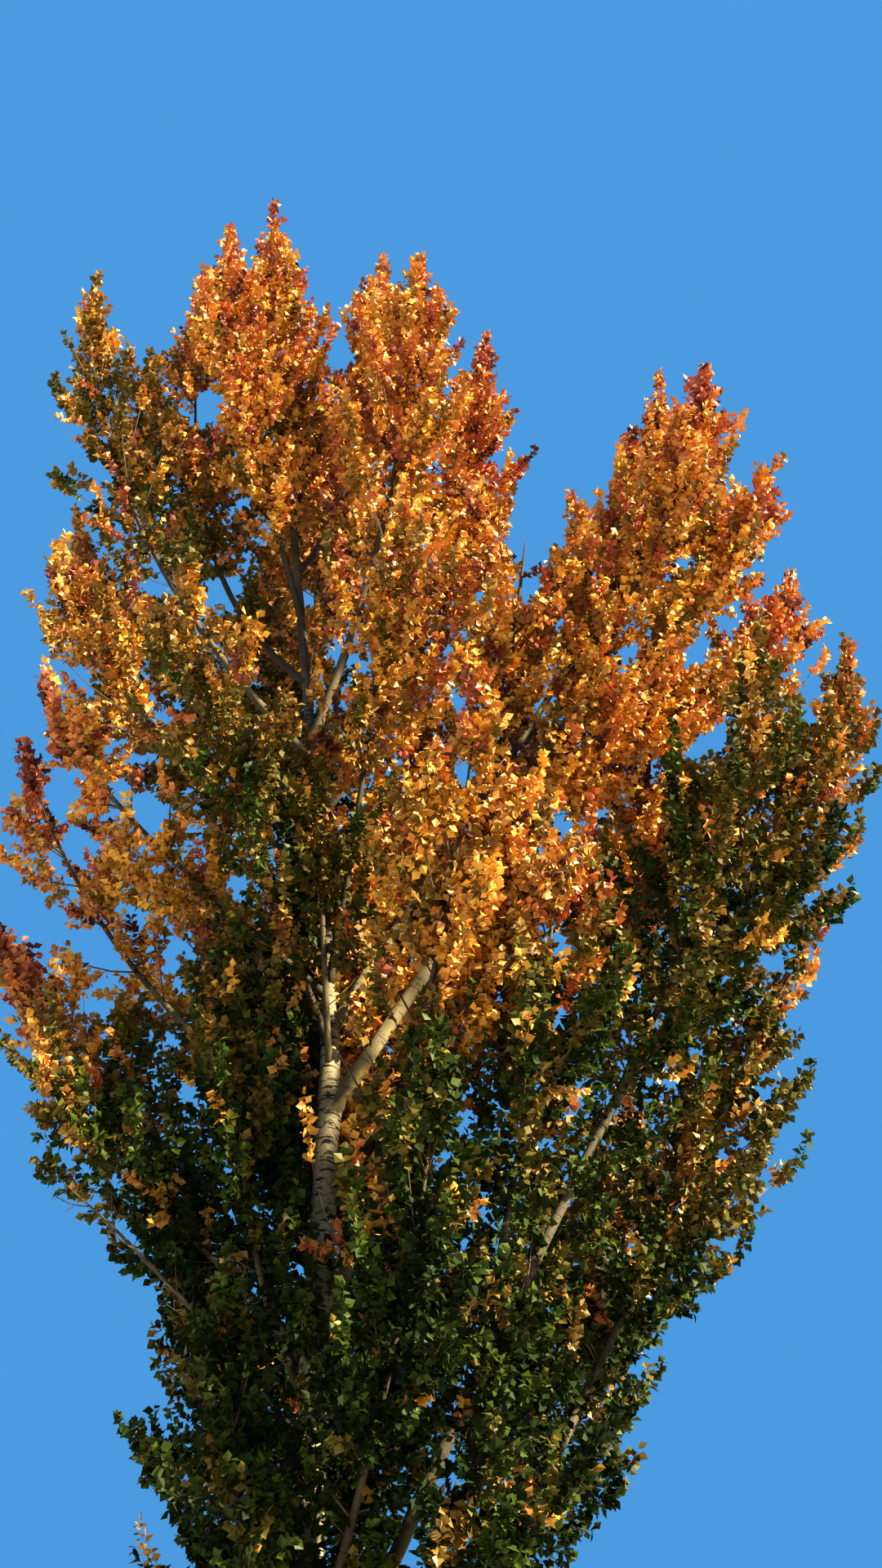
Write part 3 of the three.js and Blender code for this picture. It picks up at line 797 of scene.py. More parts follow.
@dataclass
class Growth:
    """Grows the twigs and leafy shoots of a mass of foliage from its stem.

    The first twigs are the ones of the mass's solid, from the same seed. Finer twigs stand between them,
    shoots stand on all twigs and on the stem, and each stays in the mass's own space.
    """

    skeleton: Skeleton
    spaces: OwnSpaces
    limb_space: LimbSpace
    partings: Partings
    first: TwigRule = TwigRule(0.8, 0.06, 0.72, 58, 36, 0.7, 0.015)
    finer: TwigRule = TwigRule(0.13, 0.02, 0.97, 60, 26, 0.85, 0.010)
    shoot: TwigRule = TwigRule(0.05, 0.12, 1.0, 58, 14, 0.5, 0.0032)
    first_least: int = 4
    first_most: int = 5
    twig_reach: float = 1.2  # the most a twig goes out, as a share of the mass's half-width
    shoot_length: float = 0.33
    outer_length: float = 0.62  # of the shoots at the end of a twig, as a share of those at its foot
    spreads: Pair = (0.7, 1.2)  # how much angles vary, and below how much lengths do
    side_lengths: Pair = (0.55, 1.2)
    end_lengths: Pair = (0.6, 1.2)
    finer_lengths: Pair = (0.5, 1.1)
    inner_lengths: Pair = (0.5, 1.2)
    thinner: float = 0.6  # how thick a shoot is at most, as a share of its twig
    stem_from: float = 0.04  # the share of a mass where the shoots on its stem begin
    twig_edge: Pair = (1.3, 1.04)  # how far out twigs may go, low in a mass and at its tip
    shoot_edge: Pair = (1.5, 1.2)  # the same for the middles of shoots
    edge_shares: Pair = (0.35, 0.75)  # the shares of a mass between which that changes
    tip_length: float = 0.5  # of shoots at the tip of a mass, as a share of those lower down
    tip_widths: Pair = (0.16, 0.6)  # the half-widths of a mass between which that changes
    last_shoot: float = 1.5  # how much longer the shoot that ends a twig is
    last_lift: float = 1.6  # how strongly it turns upright
    least_twig: float = 0.3  # the share of its length that a twig keeps, or else it is left out
    gap_length: float = 0.22  # over which the gaps in a mass come and go
    whole_from: float = 0.88  # the share of a mass above which it has no gaps
    middle: float = 0.6  # the share of a shoot where its leaves have their middle
    leaf_reach: float = 0.17  # how far leaves go past the tip of a shoot
    box_share: float = 0.03  # of a side of the solids' box, how far past it leaves may go
    box_room: float = 0.01  # how much further, in metres
    seed: int = 4001
    inner_seed: int = 3001
    inner_spread: Pair = (60, 45)  # in degrees, of the first and the last of a group
    inner_lift: float = 0.9
    inner_radius: float = 0.006
    inner_clearance: float = 0.2  # of the inner shoots from the trunk's middle line
    inner_groups: tuple[InnerTwigs, ...] = (
        InnerTwigs(TRUNK, 2.9, 10.8, 79),
        InnerTwigs(TRUNK, 7.3, 10.6, 60, 270, 80, 0.95),
        InnerTwigs("right_stem", 0.02, 0.34, 40, 270, 85, 0.8),
        InnerTwigs("right_inner", 0.03, 0.36, 30, 270, 90, 0.8),
        InnerTwigs("right_side", 0.4, 0.95, 22, 190, 100, 0.8),
        InnerTwigs("right_side", 0.72, 1, 20, 0, 180, 0.75),
        InnerTwigs("right_edge", 0.02, 0.3, 16, 190, 110, 0.9),
        InnerTwigs("right_stem", 0.36, 0.62, 24, 190, 80, 0.95),
        InnerTwigs("front_right", 0.35, 0.8, 20, 210, 100, 0.85),
        InnerTwigs("low_right_inner", 0.4, 0.85, 18, 330, 120, 0.8),
    )

    def grow(self, mass: int) -> tuple[Shoots, Shoots]:
        """Grows one mass.

        Args:
            mass: Its place in LIMBS.

        Returns:
            Its twigs, and the leafy shoots on them and on its stem.
        """
        rng = np.random.default_rng(self.seed + mass)
        twigs = Shoots.joined([self.first_twigs(mass), self.finer_twigs(mass, rng)])
        twigs = self.within(mass, twigs.kept(twigs.share <= LIMBS[mass].ends))
        shoots = Shoots.joined([self.shoots_on_twigs(twigs, rng), self.shoots_on_stem(mass, rng)])
        middle = shoots.point(self.middle)
        edge = self.edge(self.shoot_edge, shoots.share)
        fits = self.spaces.holds(mass, middle, edge) & self.limb_space.clear(mass, middle)
        gaps = ripple(middle, self.gap_length, 0.9 + mass)
        fits &= (gaps < np.quantile(gaps, 1 - LIMBS[mass].open)) | (shoots.share > self.whole_from)
        fits &= shoots.share <= LIMBS[mass].ends
        return twigs, shoots.kept(fits & self.in_box(shoots.tip) & self.partings.free(middle))

    def in_box(self, tips: Array) -> Array:
        """Tells which shoots keep their leaves in the room about the solids' box.

        Args:
            tips: Where the shoots end.

        Returns:
            True for each that does.
        """
        low, high = (np.array(corner) for corner in CAD_BOX)
        room = (high - low) * self.box_share + self.box_room - self.leaf_reach
        return np.all((tips > low - room) & (tips < high + room), axis=1)

    def edge(self, edges: Pair, share: Array) -> Array:
        """Gives how far out shoots may stand: further low in a mass, inside the crown, than about its tip."""
        return lerp(edges[0], edges[1], smoothstep(share, *self.edge_shares))

    def tapered(self, share: Array) -> Array:
        """Gives how much shorter the shoots grow towards the tip of a mass, which ends as a slender brush."""
        return lerp(self.tip_length, 1, smoothstep(fullness(share), *self.tip_widths))

    def first_twigs(self, mass: int) -> Shoots:
        """Grows the twigs that the mass's solid has, carried on to the edge of its space.

        Args:
            mass: Its place in LIMBS.

        Returns:
            The twigs.
        """
        limb = LIMBS[mass]
        stream = park_miller((mass + 1) * SEED_STEP + SEED_START)
        leafy = self.skeleton.lines[limb.name].length() * (1 - limb.bare)
        count = min(max(math.floor(leafy / self.first.spacing + 0.5), self.first_least), self.first_most)
        draws = np.array([[next(stream), next(stream)] for _ in range(count)])
        share = lerp(self.first.lowest, self.first.highest, np.arange(count) / (count - 1))
        angle = np.arange(count) * GOLDEN_ANGLE + (draws[:, 0] - 0.5) * 0.5
        return self.off_stem(limb, self.first, share, angle, 0.9 + 0.2 * draws[:, 1])

    def finer_twigs(self, mass: int, rng: np.random.Generator) -> Shoots:
        """Grows the twigs between the first ones.

        Args:
            mass: Its place in LIMBS.
            rng: Where the chances come from.

        Returns:
            The twigs.
        """
        limb = LIMBS[mass]
        low = limb.bare * LEAFY_FROM
        count = round(self.skeleton.lines[limb.name].length() * (1 - low) / self.finer.spacing)
        place = (np.arange(count) + rng.uniform(0, 0.8, count)) / count
        share = limb.share_at(lerp(low, self.finer.highest, place))
        angle = (np.arange(count) + 0.5) * GOLDEN_ANGLE + rng.uniform(-0.4, 0.4, count)
        return self.off_stem(limb, self.finer, share, angle, rng.uniform(*self.finer_lengths, count))

    def inner(self, number: int) -> tuple[Shoots, Shoots]:
        """Grows the thin twigs on one bare part, with their leafy shoots.

        Args:
            number: The place of their group in inner_groups.

        Returns:
            The twigs and the shoots.
        """
        group = self.inner_groups[number]
        rng = np.random.default_rng(self.inner_seed + number)
        line = self.skeleton.carrier(group.carrier)
        names = [limb.name for limb in LIMBS]
        owner = -1 if group.carrier == TRUNK else names.index(group.carrier)
        order = np.arange(group.count)
        place = lerp(group.start, group.end, order / (group.count - 1))
        turn = (order * GOLDEN_ANGLE / np.pi) % 2 - 1
        angle = np.radians(group.facing + group.sweep * turn)
        spread = np.radians(lerp(*self.inner_spread, order / (group.count - 1)))
        length = group.reach * rng.uniform(*self.inner_lengths, group.count)
        radius = np.full(group.count, self.inner_radius)
        share = np.zeros(group.count)
        twigs = shoots_from(line, place, angle, spread, length, self.inner_lift, radius, share)
        twigs = twigs.kept(self.partings.free(twigs.point(self.middle)))
        shoots = self.shoots_on_twigs(twigs, rng)
        middle = shoots.point(self.middle)
        from_trunk = np.linalg.norm((middle - self.skeleton.trunk.point(middle[:, 2]))[:, :2], axis=1)
        fits = self.partings.free(middle) & self.limb_space.clear(owner, middle)
        fits &= (from_trunk > self.inner_clearance) & self.in_box(shoots.tip)
        return twigs, shoots.kept(fits)

    def off_stem(self, limb: Limb, rule: TwigRule, share: Array, angle: Array, vigour: Array) -> Shoots:
        """Grows twigs off the stem of a mass.

        Args:
            limb: The limb whose stem carries them.
            rule: How they stand.
            share: Each one's place from the foot of the foliage to its tip.
            angle: Its angle round the stem.
            vigour: Its length as a share of what reaches the edge of the space.

        Returns:
            The twigs.
        """
        line = self.skeleton.lines[limb.name]
        spread = rule.spread(np.clip(share, 0, 1))
        width = fullness(share)
        length = limb.breadth * width * self.twig_reach * vigour / np.sin(spread) ** 0.5
        length = length * self.edge(self.twig_edge, share)
        along = lerp(limb.bare, 1, share)
        radius = rule.radius * (0.35 + 0.65 * width) * vigour**0.5
        return shoots_from(line, along, angle, spread, length, rule.lift, radius, share)

    def within(self, mass: int, twigs: Shoots, steps: int = 5) -> Shoots:
        """Ends each twig where it would leave its mass's space.

        Args:
            mass: Its place in LIMBS.
            twigs: Its twigs.
            steps: How many places of each are tested.

        Returns:
            What is left of them.
        """
        shares = np.linspace(1 / steps, 1, steps)
        edge = self.edge(self.twig_edge, twigs.share)
        places = [twigs.point(t) for t in shares]
        inside = np.stack([self.spaces.holds(mass, at, edge) & ~self.partings.in_window(at) for at in places])
        reached = np.logical_and.accumulate(inside).sum(0)
        length = np.where(reached > 0, shares[reached - 1], 0)
        return twigs.cut_at(length).kept(length > self.least_twig)

    def shoots_on_twigs(self, twigs: Shoots, rng: np.random.Generator) -> Shoots:
        """Grows the leafy shoots along each twig and the one that ends it.

        Args:
            twigs: The twigs.
            rng: Where the chances come from.

        Returns:
            The shoots.
        """
        rule = self.shoot
        counts = np.maximum(2, np.round(twigs.length() / rule.spacing)).astype(int)
        carrier, order, place = dealt_along(counts)
        t = lerp(rule.lowest, rule.highest, place)
        on = twigs.kept(carrier)
        angle = order * GOLDEN_ANGLE + rng.uniform(0, 2 * np.pi, len(twigs))[carrier]
        spread = rule.spread(place) * rng.uniform(*self.spreads, len(t))
        length = self.shoot_length * lerp(1.0, self.outer_length, place)
        length = length * rng.uniform(*self.side_lengths, len(t)) * self.tapered(on.share)
        last = self.shoot_length * self.last_shoot * rng.uniform(*self.end_lengths, len(t))
        length = np.where(place == 1, last, length)
        radius = np.minimum(rule.radius, on.radius * self.thinner)
        lift = np.where(place == 1, self.last_lift, rule.lift)
        return shoots_from(on, t, angle, spread, length, lift, radius, on.share)

    def shoots_on_stem(self, mass: int, rng: np.random.Generator) -> Shoots:
        """Grows the leafy shoots that stand on the stem itself, up to its tip.

        Args:
            mass: Its place in LIMBS.
            rng: Where the chances come from.

        Returns:
            The shoots.
        """
        limb = LIMBS[mass]
        rule = self.shoot
        line = self.skeleton.lines[limb.name]
        count = round(line.length() * (1 - limb.bare) / rule.spacing)
        share = np.linspace(self.stem_from, 1, count)
        along = lerp(limb.bare, 1, share)
        spread = rule.spread(share**3) * rng.uniform(*self.spreads, count)
        angle = np.arange(count) * GOLDEN_ANGLE
        length = self.shoot_length * rng.uniform(*self.end_lengths, count) * self.tapered(share)
        radius = np.full(count, rule.radius)
        return shoots_from(line, along, angle, spread, length, rule.lift, radius, share)


@dataclass
class Joined:
    """Many small shapes that become one mesh, from arrays."""

    points: list[Array] = field(default_factory=list)
    faces: list[Array] = field(default_factory=list)
    finishes: list[Array] = field(default_factory=list)
    count: int = 0
    taper: float = 0.6

    def add_points(self, points: Array) -> int:
        """Adds points.

        Args:
            points: The points.

        Returns:
            The number of the first.
        """
        first = self.count
        self.points.append(points.reshape(-1, 3))
        self.count += len(self.points[-1])
        return first

    def add_faces(self, faces: Array, finish: Array | int = 0) -> None:
        """Adds faces with equally many corners, and the place of each one's finish."""
        self.faces.append(faces)
        self.finishes.append(np.broadcast_to(finish, len(faces)))

    def tubes(self, points: Array, tangents: Array, radii: Array, tips: Array, sides: int) -> None:
        """Adds closed pointed tubes.

        Args:
            points: The middle of each ring, by tube and by ring.
            tangents: The tube's direction there.
            radii: The ring's radius there.
            tips: The point that ends each tube.
            sides: How many sides a tube has.
        """
        tube_count, rings = radii.shape
        normal = square_to(tangents, AWAY)[:, :, None]
        across = np.cross(tangents, normal[:, :, 0])[:, :, None]
        angle = np.arange(sides) * 2 * np.pi / sides
        rim = normal * np.cos(angle)[:, None] + across * np.sin(angle)[:, None]
        first = self.add_points(points[:, :, None] + rim * radii[:, :, None, None])
        first_tip = self.add_points(tips)
        ring = np.arange(sides)
        following = np.roll(ring, -1)
        starts = first + np.arange(tube_count)[:, None] * rings * sides
        lower = starts[:, :, None] + np.arange(rings - 1)[:, None] * sides
        near, far = lower + ring, lower + following
        self.add_faces(np.stack([near, far, far + sides, near + sides], -1).reshape(-1, 4))
        last = starts + (rings - 1) * sides
        ends = np.broadcast_to(first_tip + np.arange(tube_count)[:, None], (tube_count, sides))
        self.add_faces(np.stack([last + ring, last + following, ends], -1).reshape(-1, 3))
        self.add_faces((starts + ring[::-1]).reshape(-1, sides))

    def bent_tubes(self, shoots: Shoots, sides: int, rings: int) -> None:
        """Adds a tapering tube for each shoot.

        Args:
            shoots: The shoots.
            sides: How many sides a tube has.
            rings: How many rings it has below its tip.
        """
        shares = np.arange(rings) / rings
        points = np.stack([shoots.point(t) for t in shares], 1)
        tangents = np.stack([shoots.tangent(t) for t in shares], 1)
        radii = shoots.radius[:, None] * (1 - self.taper * shares)
        self.tubes(points, tangents, radii, shoots.tip, sides)

    def piece(self, name: str, materials: list[Material], smooth: bool) -> Object:
        """Makes the mesh.

        Args:
            name: The piece's name.
            materials: The finishes, in the order that the faces number them.
            smooth: Whether its faces are shaded smooth.

        Returns:
            The object, at the origin.
        """
        mesh = bpy.data.meshes.new(name)
        points = np.concatenate(self.points).astype(np.float32)
        sizes = np.concatenate([np.full(len(faces), faces.shape[1]) for faces in self.faces])
        mesh.vertices.add(len(points))
        mesh.vertices.foreach_set("co", points.ravel())
        mesh.loops.add(int(sizes.sum()))
        corners = np.concatenate([faces.ravel() for faces in self.faces])
        mesh.loops.foreach_set("vertex_index", corners.astype(np.int32))
        mesh.polygons.add(len(sizes))
        mesh.polygons.foreach_set("loop_start", (np.cumsum(sizes) - sizes).astype(np.int32))
        for material in materials:
            mesh.materials.append(material)
        mesh.polygons.foreach_set("material_index", np.concatenate(self.finishes).astype(np.int32))
        mesh.polygons.foreach_set("use_smooth", np.full(len(sizes), smooth))
        mesh.update(calc_edges=True)
        mesh.validate()
        made = bpy.data.objects.new(name, mesh)
        bpy.context.scene.collection.objects.link(made)
        return made


@dataclass(frozen=True)
class LeafShape:
    """A broad pointed leaf: two half blades that fold a little along the midrib and run into the stalk.

    Attributes:
        blade: Length of the leaf with its stalk.
        size_spread: How much the size varies either way, as a share.
        widest: The blade's half-width where it is widest, and how far along that is, as shares of its length.
        fold: How far the edges stand up from the midrib, as a share of its length.
        spacing: Distance between two leaves along a shoot.
        stalk_angle: Degrees between a stalk and its shoot.
    """

    blade: float = 0.078
    size_spread: float = 0.24
    widest: Pair = (0.42, 0.46)
    fold: float = 0.12
    spacing: float = 0.0158
    fewest: int = 3
    first_at: float = 0.12
    stalk_angle: float = 62
    stalk_jitter: float = 14
    last_stalk: float = 0.5  # the last stalk's angle, as a share of the first one's
    onward: float = 0.75  # how strongly a blade goes on along its stalk
    scatter: float = 0.38
    droop: Pair = (-0.1, 0.8)
    facing_up: float = 0.42  # how strongly a blade faces upwards
    facing_along: float = 0.28
    facing_scatter: float = 0.6

    def on_shoots(self, shoots: Shoots, finishes: Array, leaves: Joined, rng: np.random.Generator) -> int:
        """Sets leaves along each shoot, in turn round the golden angle.

        Args:
            shoots: The shoots that carry the leaves.
            finishes: The place of each shoot's finish.
            leaves: The mesh that takes them.
            rng: Where the chances come from.

        Returns:
            How many leaves were set.
        """
        counts = np.maximum(self.fewest, np.round(shoots.length() / self.spacing)).astype(int)
        carrier, order, place = dealt_along(counts)
        t = lerp(self.first_at, 1.0, place)
        on = shoots.kept(carrier)
        root, along = on.point(t), on.tangent(t)
        normal = square_to(along, AWAY)
        angle = order * GOLDEN_ANGLE + rng.uniform(0, 2 * np.pi, len(shoots))[carrier]
        outward = turned(normal, np.cross(along, normal), angle)
        jitter = rng.uniform(-self.stalk_jitter, self.stalk_jitter, len(t))
        stalk_angle = np.radians(self.stalk_angle * lerp(1, self.last_stalk, t**4) + jitter)
        stalk = turned(along, outward, stalk_angle)
        scatter = rng.normal(0, self.scatter, (len(t), 3))
        blade = unit(stalk * self.onward + scatter - UP * rng.uniform(*self.droop, (len(t), 1)))
        facing = UP * self.facing_up + along * self.facing_along
        facing = facing + rng.normal(0, self.facing_scatter, (len(t), 3))
        across = unit(np.cross(blade, facing))
        self.set_blades(leaves, root, blade, across, rng, finishes[carrier])
        return len(t)

    def set_blades(self, leaves: Joined, root: Array, blade: Array, across: Array, rng: np.random.Generator,
                   finishes: Array) -> None:
        """Adds the leaves' points and faces.

        Args:
            leaves: The mesh that takes them.
            root: Where each leaf starts.
            blade: The midrib's direction.
            across: The direction square to it in the blade.
            rng: Where the chances come from.
            finishes: The place of each leaf's finish.
        """
        count = len(root)
        size = (self.blade * rng.uniform(1 - self.size_spread, 1 + self.size_spread, count))[:, None]
        up = np.cross(across, blade)
        middle = root + blade * size * self.widest[1] + up * size * self.fold
        wide = across * size * self.widest[0]
        points = np.stack([root, middle + wide, root + blade * size, middle - wide], 1)
        first = leaves.add_points(points) + np.arange(count)[:, None] * 4
        leaves.add_faces(first + np.array([0, 1, 2]), finishes)
        leaves.add_faces(first + np.array([0, 2, 3]), finishes)


def ripple(places: Array, scale: float, seed: float) -> Array:
    """Gives a smooth value from about -1 to 1 that wanders with the place.

    Args:
        places: The points.
        scale: The length over which the value changes, in metres.
        seed: A number that gives each use its own pattern.

    Returns:
        One value for each point.
    """
    x, y, z = np.moveaxis(places / scale, -1, 0)
    first = np.sin(1.9 * x + 1.3 * np.sin(1.1 * z + seed) + seed)
    second = np.sin(2.3 * y - 0.8 * x + 1.7 * np.sin(0.7 * x + 2 * seed))
    third = np.sin(1.4 * z + 1.1 * y + np.sin(1.6 * y + 3 * seed))
    return (first + second + third) / 2.2


def linear(hex_colour: str) -> tuple[float, float, float, float]:
    """Turns a colour written as RRGGBB into the linear values that shaders take."""
    values = (int(hex_colour[i:i + 2], 16) / 255 for i in (0, 2, 4))
    return (*(v / 12.92 if v <= 0.04045 else ((v + 0.055) / 1.055) ** 2.4 for v in values), 1.0)


class Value:
    """A number in a node tree: expressions on it add the Math nodes."""

    def __init__(self, graph: "Graph", socket: Socket) -> None:
        """Wraps an output socket."""
        self.graph = graph
        self.socket = socket

    def __add__(self, other: "Value | float") -> "Value":
        """Adds."""
        return self.graph.maths("ADD", self, other)

    def __sub__(self, other: "Value | float") -> "Value":
        """Subtracts."""
        return self.graph.maths("SUBTRACT", self, other)

    def __rsub__(self, other: float) -> "Value":
        """Subtracts from a number."""
        return self.graph.maths("SUBTRACT", other, self)

    def __mul__(self, other: "Value | float") -> "Value":
        """Multiplies."""
        return self.graph.maths("MULTIPLY", self, other)

    def __truediv__(self, other: "Value | float") -> "Value":
        """Divides."""
        return self.graph.maths("DIVIDE", self, other)

    __radd__ = __add__
    __rmul__ = __mul__

    def between(self, low: float, high: float) -> "Value":
        """Gives 0 at low and below, 1 at high and above, and a straight rise between them."""
        return self.graph.maths("ADD", (self - low) / (high - low), 0, clamped=True)

    def at_least(self, other: "Value | float") -> "Value":
        """Gives the larger of two numbers."""
        return self.graph.maths("MAXIMUM", self, other)


class Graph:
    """A material's node tree and the ways to add to it."""

    def __init__(self, name: str) -> None:
        """Starts a material with its Principled shader.

        Args:
            name: The material's name.
        """
        self.material = bpy.data.materials.new(name)
        self.material.use_nodes = True
        self.nodes = self.material.node_tree.nodes
        self.links = self.material.node_tree.links
        self.shader = self.nodes["Principled BSDF"]

    def node(self, kind: str, settings: dict[str, object], inputs: dict[str | int, object]) -> bpy.types.Node:
        """Adds a node.

        Args:
            kind: The node's type.
            settings: Its own properties, which are set first.
            inputs: A value, a socket or a Value for each input, by name or by place.

        Returns:
            The node.
        """
        made = self.nodes.new(kind)
        for name, setting in settings.items():
            setattr(made, name, setting)
        for place, given in inputs.items():
            self.feed(made.inputs[place], given)
        return made

    def feed(self, socket: Socket, given: object) -> None:
        """Gives an input its value or its link.

        Args:
            socket: The input.
            given: A value, a socket or a Value.
        """
        if isinstance(given, Value):
            given = given.socket
        if isinstance(given, Socket):
            self.links.new(given, socket)
        else:
            socket.default_value = given

    def maths(self, operation: str, first: Value | float, second: Value | float,
              clamped: bool = False) -> Value:
        """Adds a Math node."""
        settings = {"operation": operation, "use_clamp": clamped}
        return Value(self, self.node("ShaderNodeMath", settings, {0: first, 1: second}).outputs[0])

    def blend(self, share: Value | float, first: object, second: object) -> Socket:
        """Blends two colours."""
        node = self.node("ShaderNodeMix", {"data_type": "RGBA"}, {0: share, 6: first, 7: second})
        return node.outputs[2]

    def stretched(self, vector: Socket, scale: Triple) -> Socket:
        """Scales coordinates."""
        return self.node("ShaderNodeMapping", {}, {"Vector": vector, "Scale": scale}).outputs[0]

    def noise(self, vector: Socket, scale: Triple, detail: float) -> Value:
        """Adds noise, with a scale for each direction in features a metre."""
        inputs = {"Vector": self.stretched(vector, scale), "Scale": 1.0, "Detail": detail}
        return Value(self, self.node("ShaderNodeTexNoise", {}, inputs).outputs["Fac"])

    def height(self, vector: Socket) -> Value:
        """Gives the third coordinate of a place."""
        return Value(self, self.node("ShaderNodeSeparateXYZ", {}, {0: vector}).outputs[2])

    def attribute(self, name: str) -> bpy.types.Node:
        """Reads an attribute of the mesh."""
        return self.node("ShaderNodeAttribute", {"attribute_name": name}, {})

    def finish(self, colour: object, roughness: object, bumps: Value | None = None,
               depth: float = 0.0) -> Material:
        """Feeds the shader.

        Args:
            colour: The base colour, a value or a socket.
            roughness: The roughness, a value or a Value.
            bumps: The height of the surface's fine relief, from 0 to 1.
            depth: How deep that relief is, in metres.

        Returns:
            The material.
        """
        self.feed(self.shader.inputs["Base Color"], colour)
        self.feed(self.shader.inputs["Roughness"], roughness)
        if bumps is not None:
            bump = self.node("ShaderNodeBump", {}, {"Strength": 1.0, "Distance": depth, "Height": bumps})
            self.feed(self.shader.inputs["Normal"], bump.outputs[0])
        return self.material


STRAIGHT = "straight"
SCAR = "scar"


@dataclass(frozen=True)
class Pattern:
    """A noise by which wood varies.

    Attributes:
        scale: How many features it has to a metre, in each direction.
        detail: How finely it is broken up.
        low: The value of the noise where the pattern starts.
        high: The value where it is full.
    """

    scale: Triple
    detail: float
    low: float
    high: float

    def on(self, graph: Graph, vector: Socket) -> Value:
        """Adds the pattern to a material."""
        return graph.noise(vector, self.scale, self.detail).between(self.low, self.high)


@dataclass(frozen=True)
class BarkFinish:
    """Poplar bark: pale and smooth with dark level dashes and brow-shaped scars, and cracked low down.

    Attributes:
        name: The material's name.
        pale: Its main colour.
        shade: The colour of its greyer patches.
        moss: The colour of its greener patches.
        dash: The colour of the dashes and scars.
        crack: The colour in the cracks of the old bark.
        brown: The colour of the bark high in the crown: younger bark, darkened further as painted shade of
            the crown.
        brown_from: The height where the bark starts to be brown.
        brown_to: The height where it is all brown.
        dashes: How much of the bark the dashes take, from 0 to 1.
        old_height: The height up to which the bark is cracked and greyer: old bark low down, set this high
            partly as painted shade on the lower trunk.
        relief: Depth of the fine relief.
        patches: How the greyer patches lie.
        green: How the greener patches lie.
        ridges: How the ridges between the cracks lie.
    """

    name: str
    pale: str = "b3a07e"
    shade: str = "8f8265"
    moss: str = "858059"
    dash: str = "2a231b"
    crack: str = "3a3229"
    brown: str = "413524"
    brown_from: float = 8.8
    brown_to: float = 9.9
    dashes: float = 0.5
    old_height: float = 6.4
    relief: float = 0.006
    patches: Pattern = Pattern((3.2, 3.2, 1.6), 5, 0.42, 0.66)
    green: Pattern = Pattern((1.7, 1.7, 0.7), 3, 0.5, 0.7)
    ridges: Pattern = Pattern((11, 11, 2.1), 6, 0.36, 0.6)
    grain: Triple = (60, 60, 40)
    long_dashes: Triple = (6.5, 6.5, 30)
    short_dashes: Triple = (19, 19, 85)
    dash_from: float = 0.66  # the value of their noise where dashes start, less dash_room for each of dashes
    dash_room: float = 0.1

    def material(self) -> Material:
        """Builds the nodes.

        Returns:
            The material.
        """
        graph = Graph(self.name)
        straight = graph.attribute(STRAIGHT).outputs["Vector"]
        scar = Value(graph, graph.attribute(SCAR).outputs["Fac"])
        patches = self.patches.on(graph, straight)
        green = self.green.on(graph, straight)
        threshold = self.dash_from - self.dash_room * self.dashes
        long_dash = graph.noise(straight, self.long_dashes, 1).between(threshold, threshold + 0.035)
        short_dash = graph.noise(straight, self.short_dashes, 1).between(threshold + 0.015, threshold + 0.06)
        # Greyer, cracked bark below old_height: partly old bark, partly painted shade on the lower trunk.
        age_and_shade = (1 - graph.height(straight) / self.old_height).between(0, 0.9)
        cracks = (1 - self.ridges.on(graph, straight)) * age_and_shade
        marks = long_dash.at_least(short_dash * 0.8).at_least(scar)
        place = graph.node("ShaderNodeTexCoord", {}, {}).outputs["Object"]
        # Partly painted shade: the bark darkens to brown above brown_from, for younger bark and for the
        # crown's shade.
        young_and_shaded = graph.height(place).between(self.brown_from, self.brown_to)
        pale_bark = graph.blend(green * 0.55, graph.blend(patches, linear(self.pale), linear(self.shade)),
                                linear(self.moss))
        smooth_bark = graph.blend(young_and_shaded * (1 - 0.3 * patches), pale_bark, linear(self.brown))
        marked = graph.blend(marks * (1 - 0.6 * age_and_shade), smooth_bark, linear(self.dash))
        old_bark = graph.blend(age_and_shade * 0.75, marked, linear(self.shade))
        colour = graph.blend(cracks, old_bark, linear(self.crack))
        grain = graph.noise(straight, self.grain, 4)
        bumps = 0.6 + 0.15 * grain - 0.3 * marks + 0.12 * patches - 0.4 * cracks
        return graph.finish(colour, 0.72 + 0.2 * patches + 0.06 * grain, bumps, self.relief)


@dataclass(frozen=True)
class DeadWoodFinish:
    """Grey-brown wood that has lost its bark, with fine cracks along the grain."""

    name: str = "dead_wood"
    wood: str = "3f342b"
    silver: str = "62564a"
    crack: str = "1c1612"
    weathering: Pattern = Pattern((14, 14, 3), 4, 0.42, 0.64)
    between_cracks: Pattern = Pattern((90, 90, 6), 3, 0.34, 0.46)
    relief: float = 0.002

    def material(self) -> Material:
        """Builds the nodes.

        Returns:
            The material.
        """
        graph = Graph(self.name)
        straight = graph.attribute(STRAIGHT).outputs["Vector"]
        weathered = self.weathering.on(graph, straight)
        cracks = 1 - self.between_cracks.on(graph, straight)
        colour = graph.blend(cracks, graph.blend(weathered, linear(self.wood), linear(self.silver)),
                             linear(self.crack))
        return graph.finish(colour, 0.82 + 0.12 * weathered, 0.7 - 0.5 * cracks, self.relief)


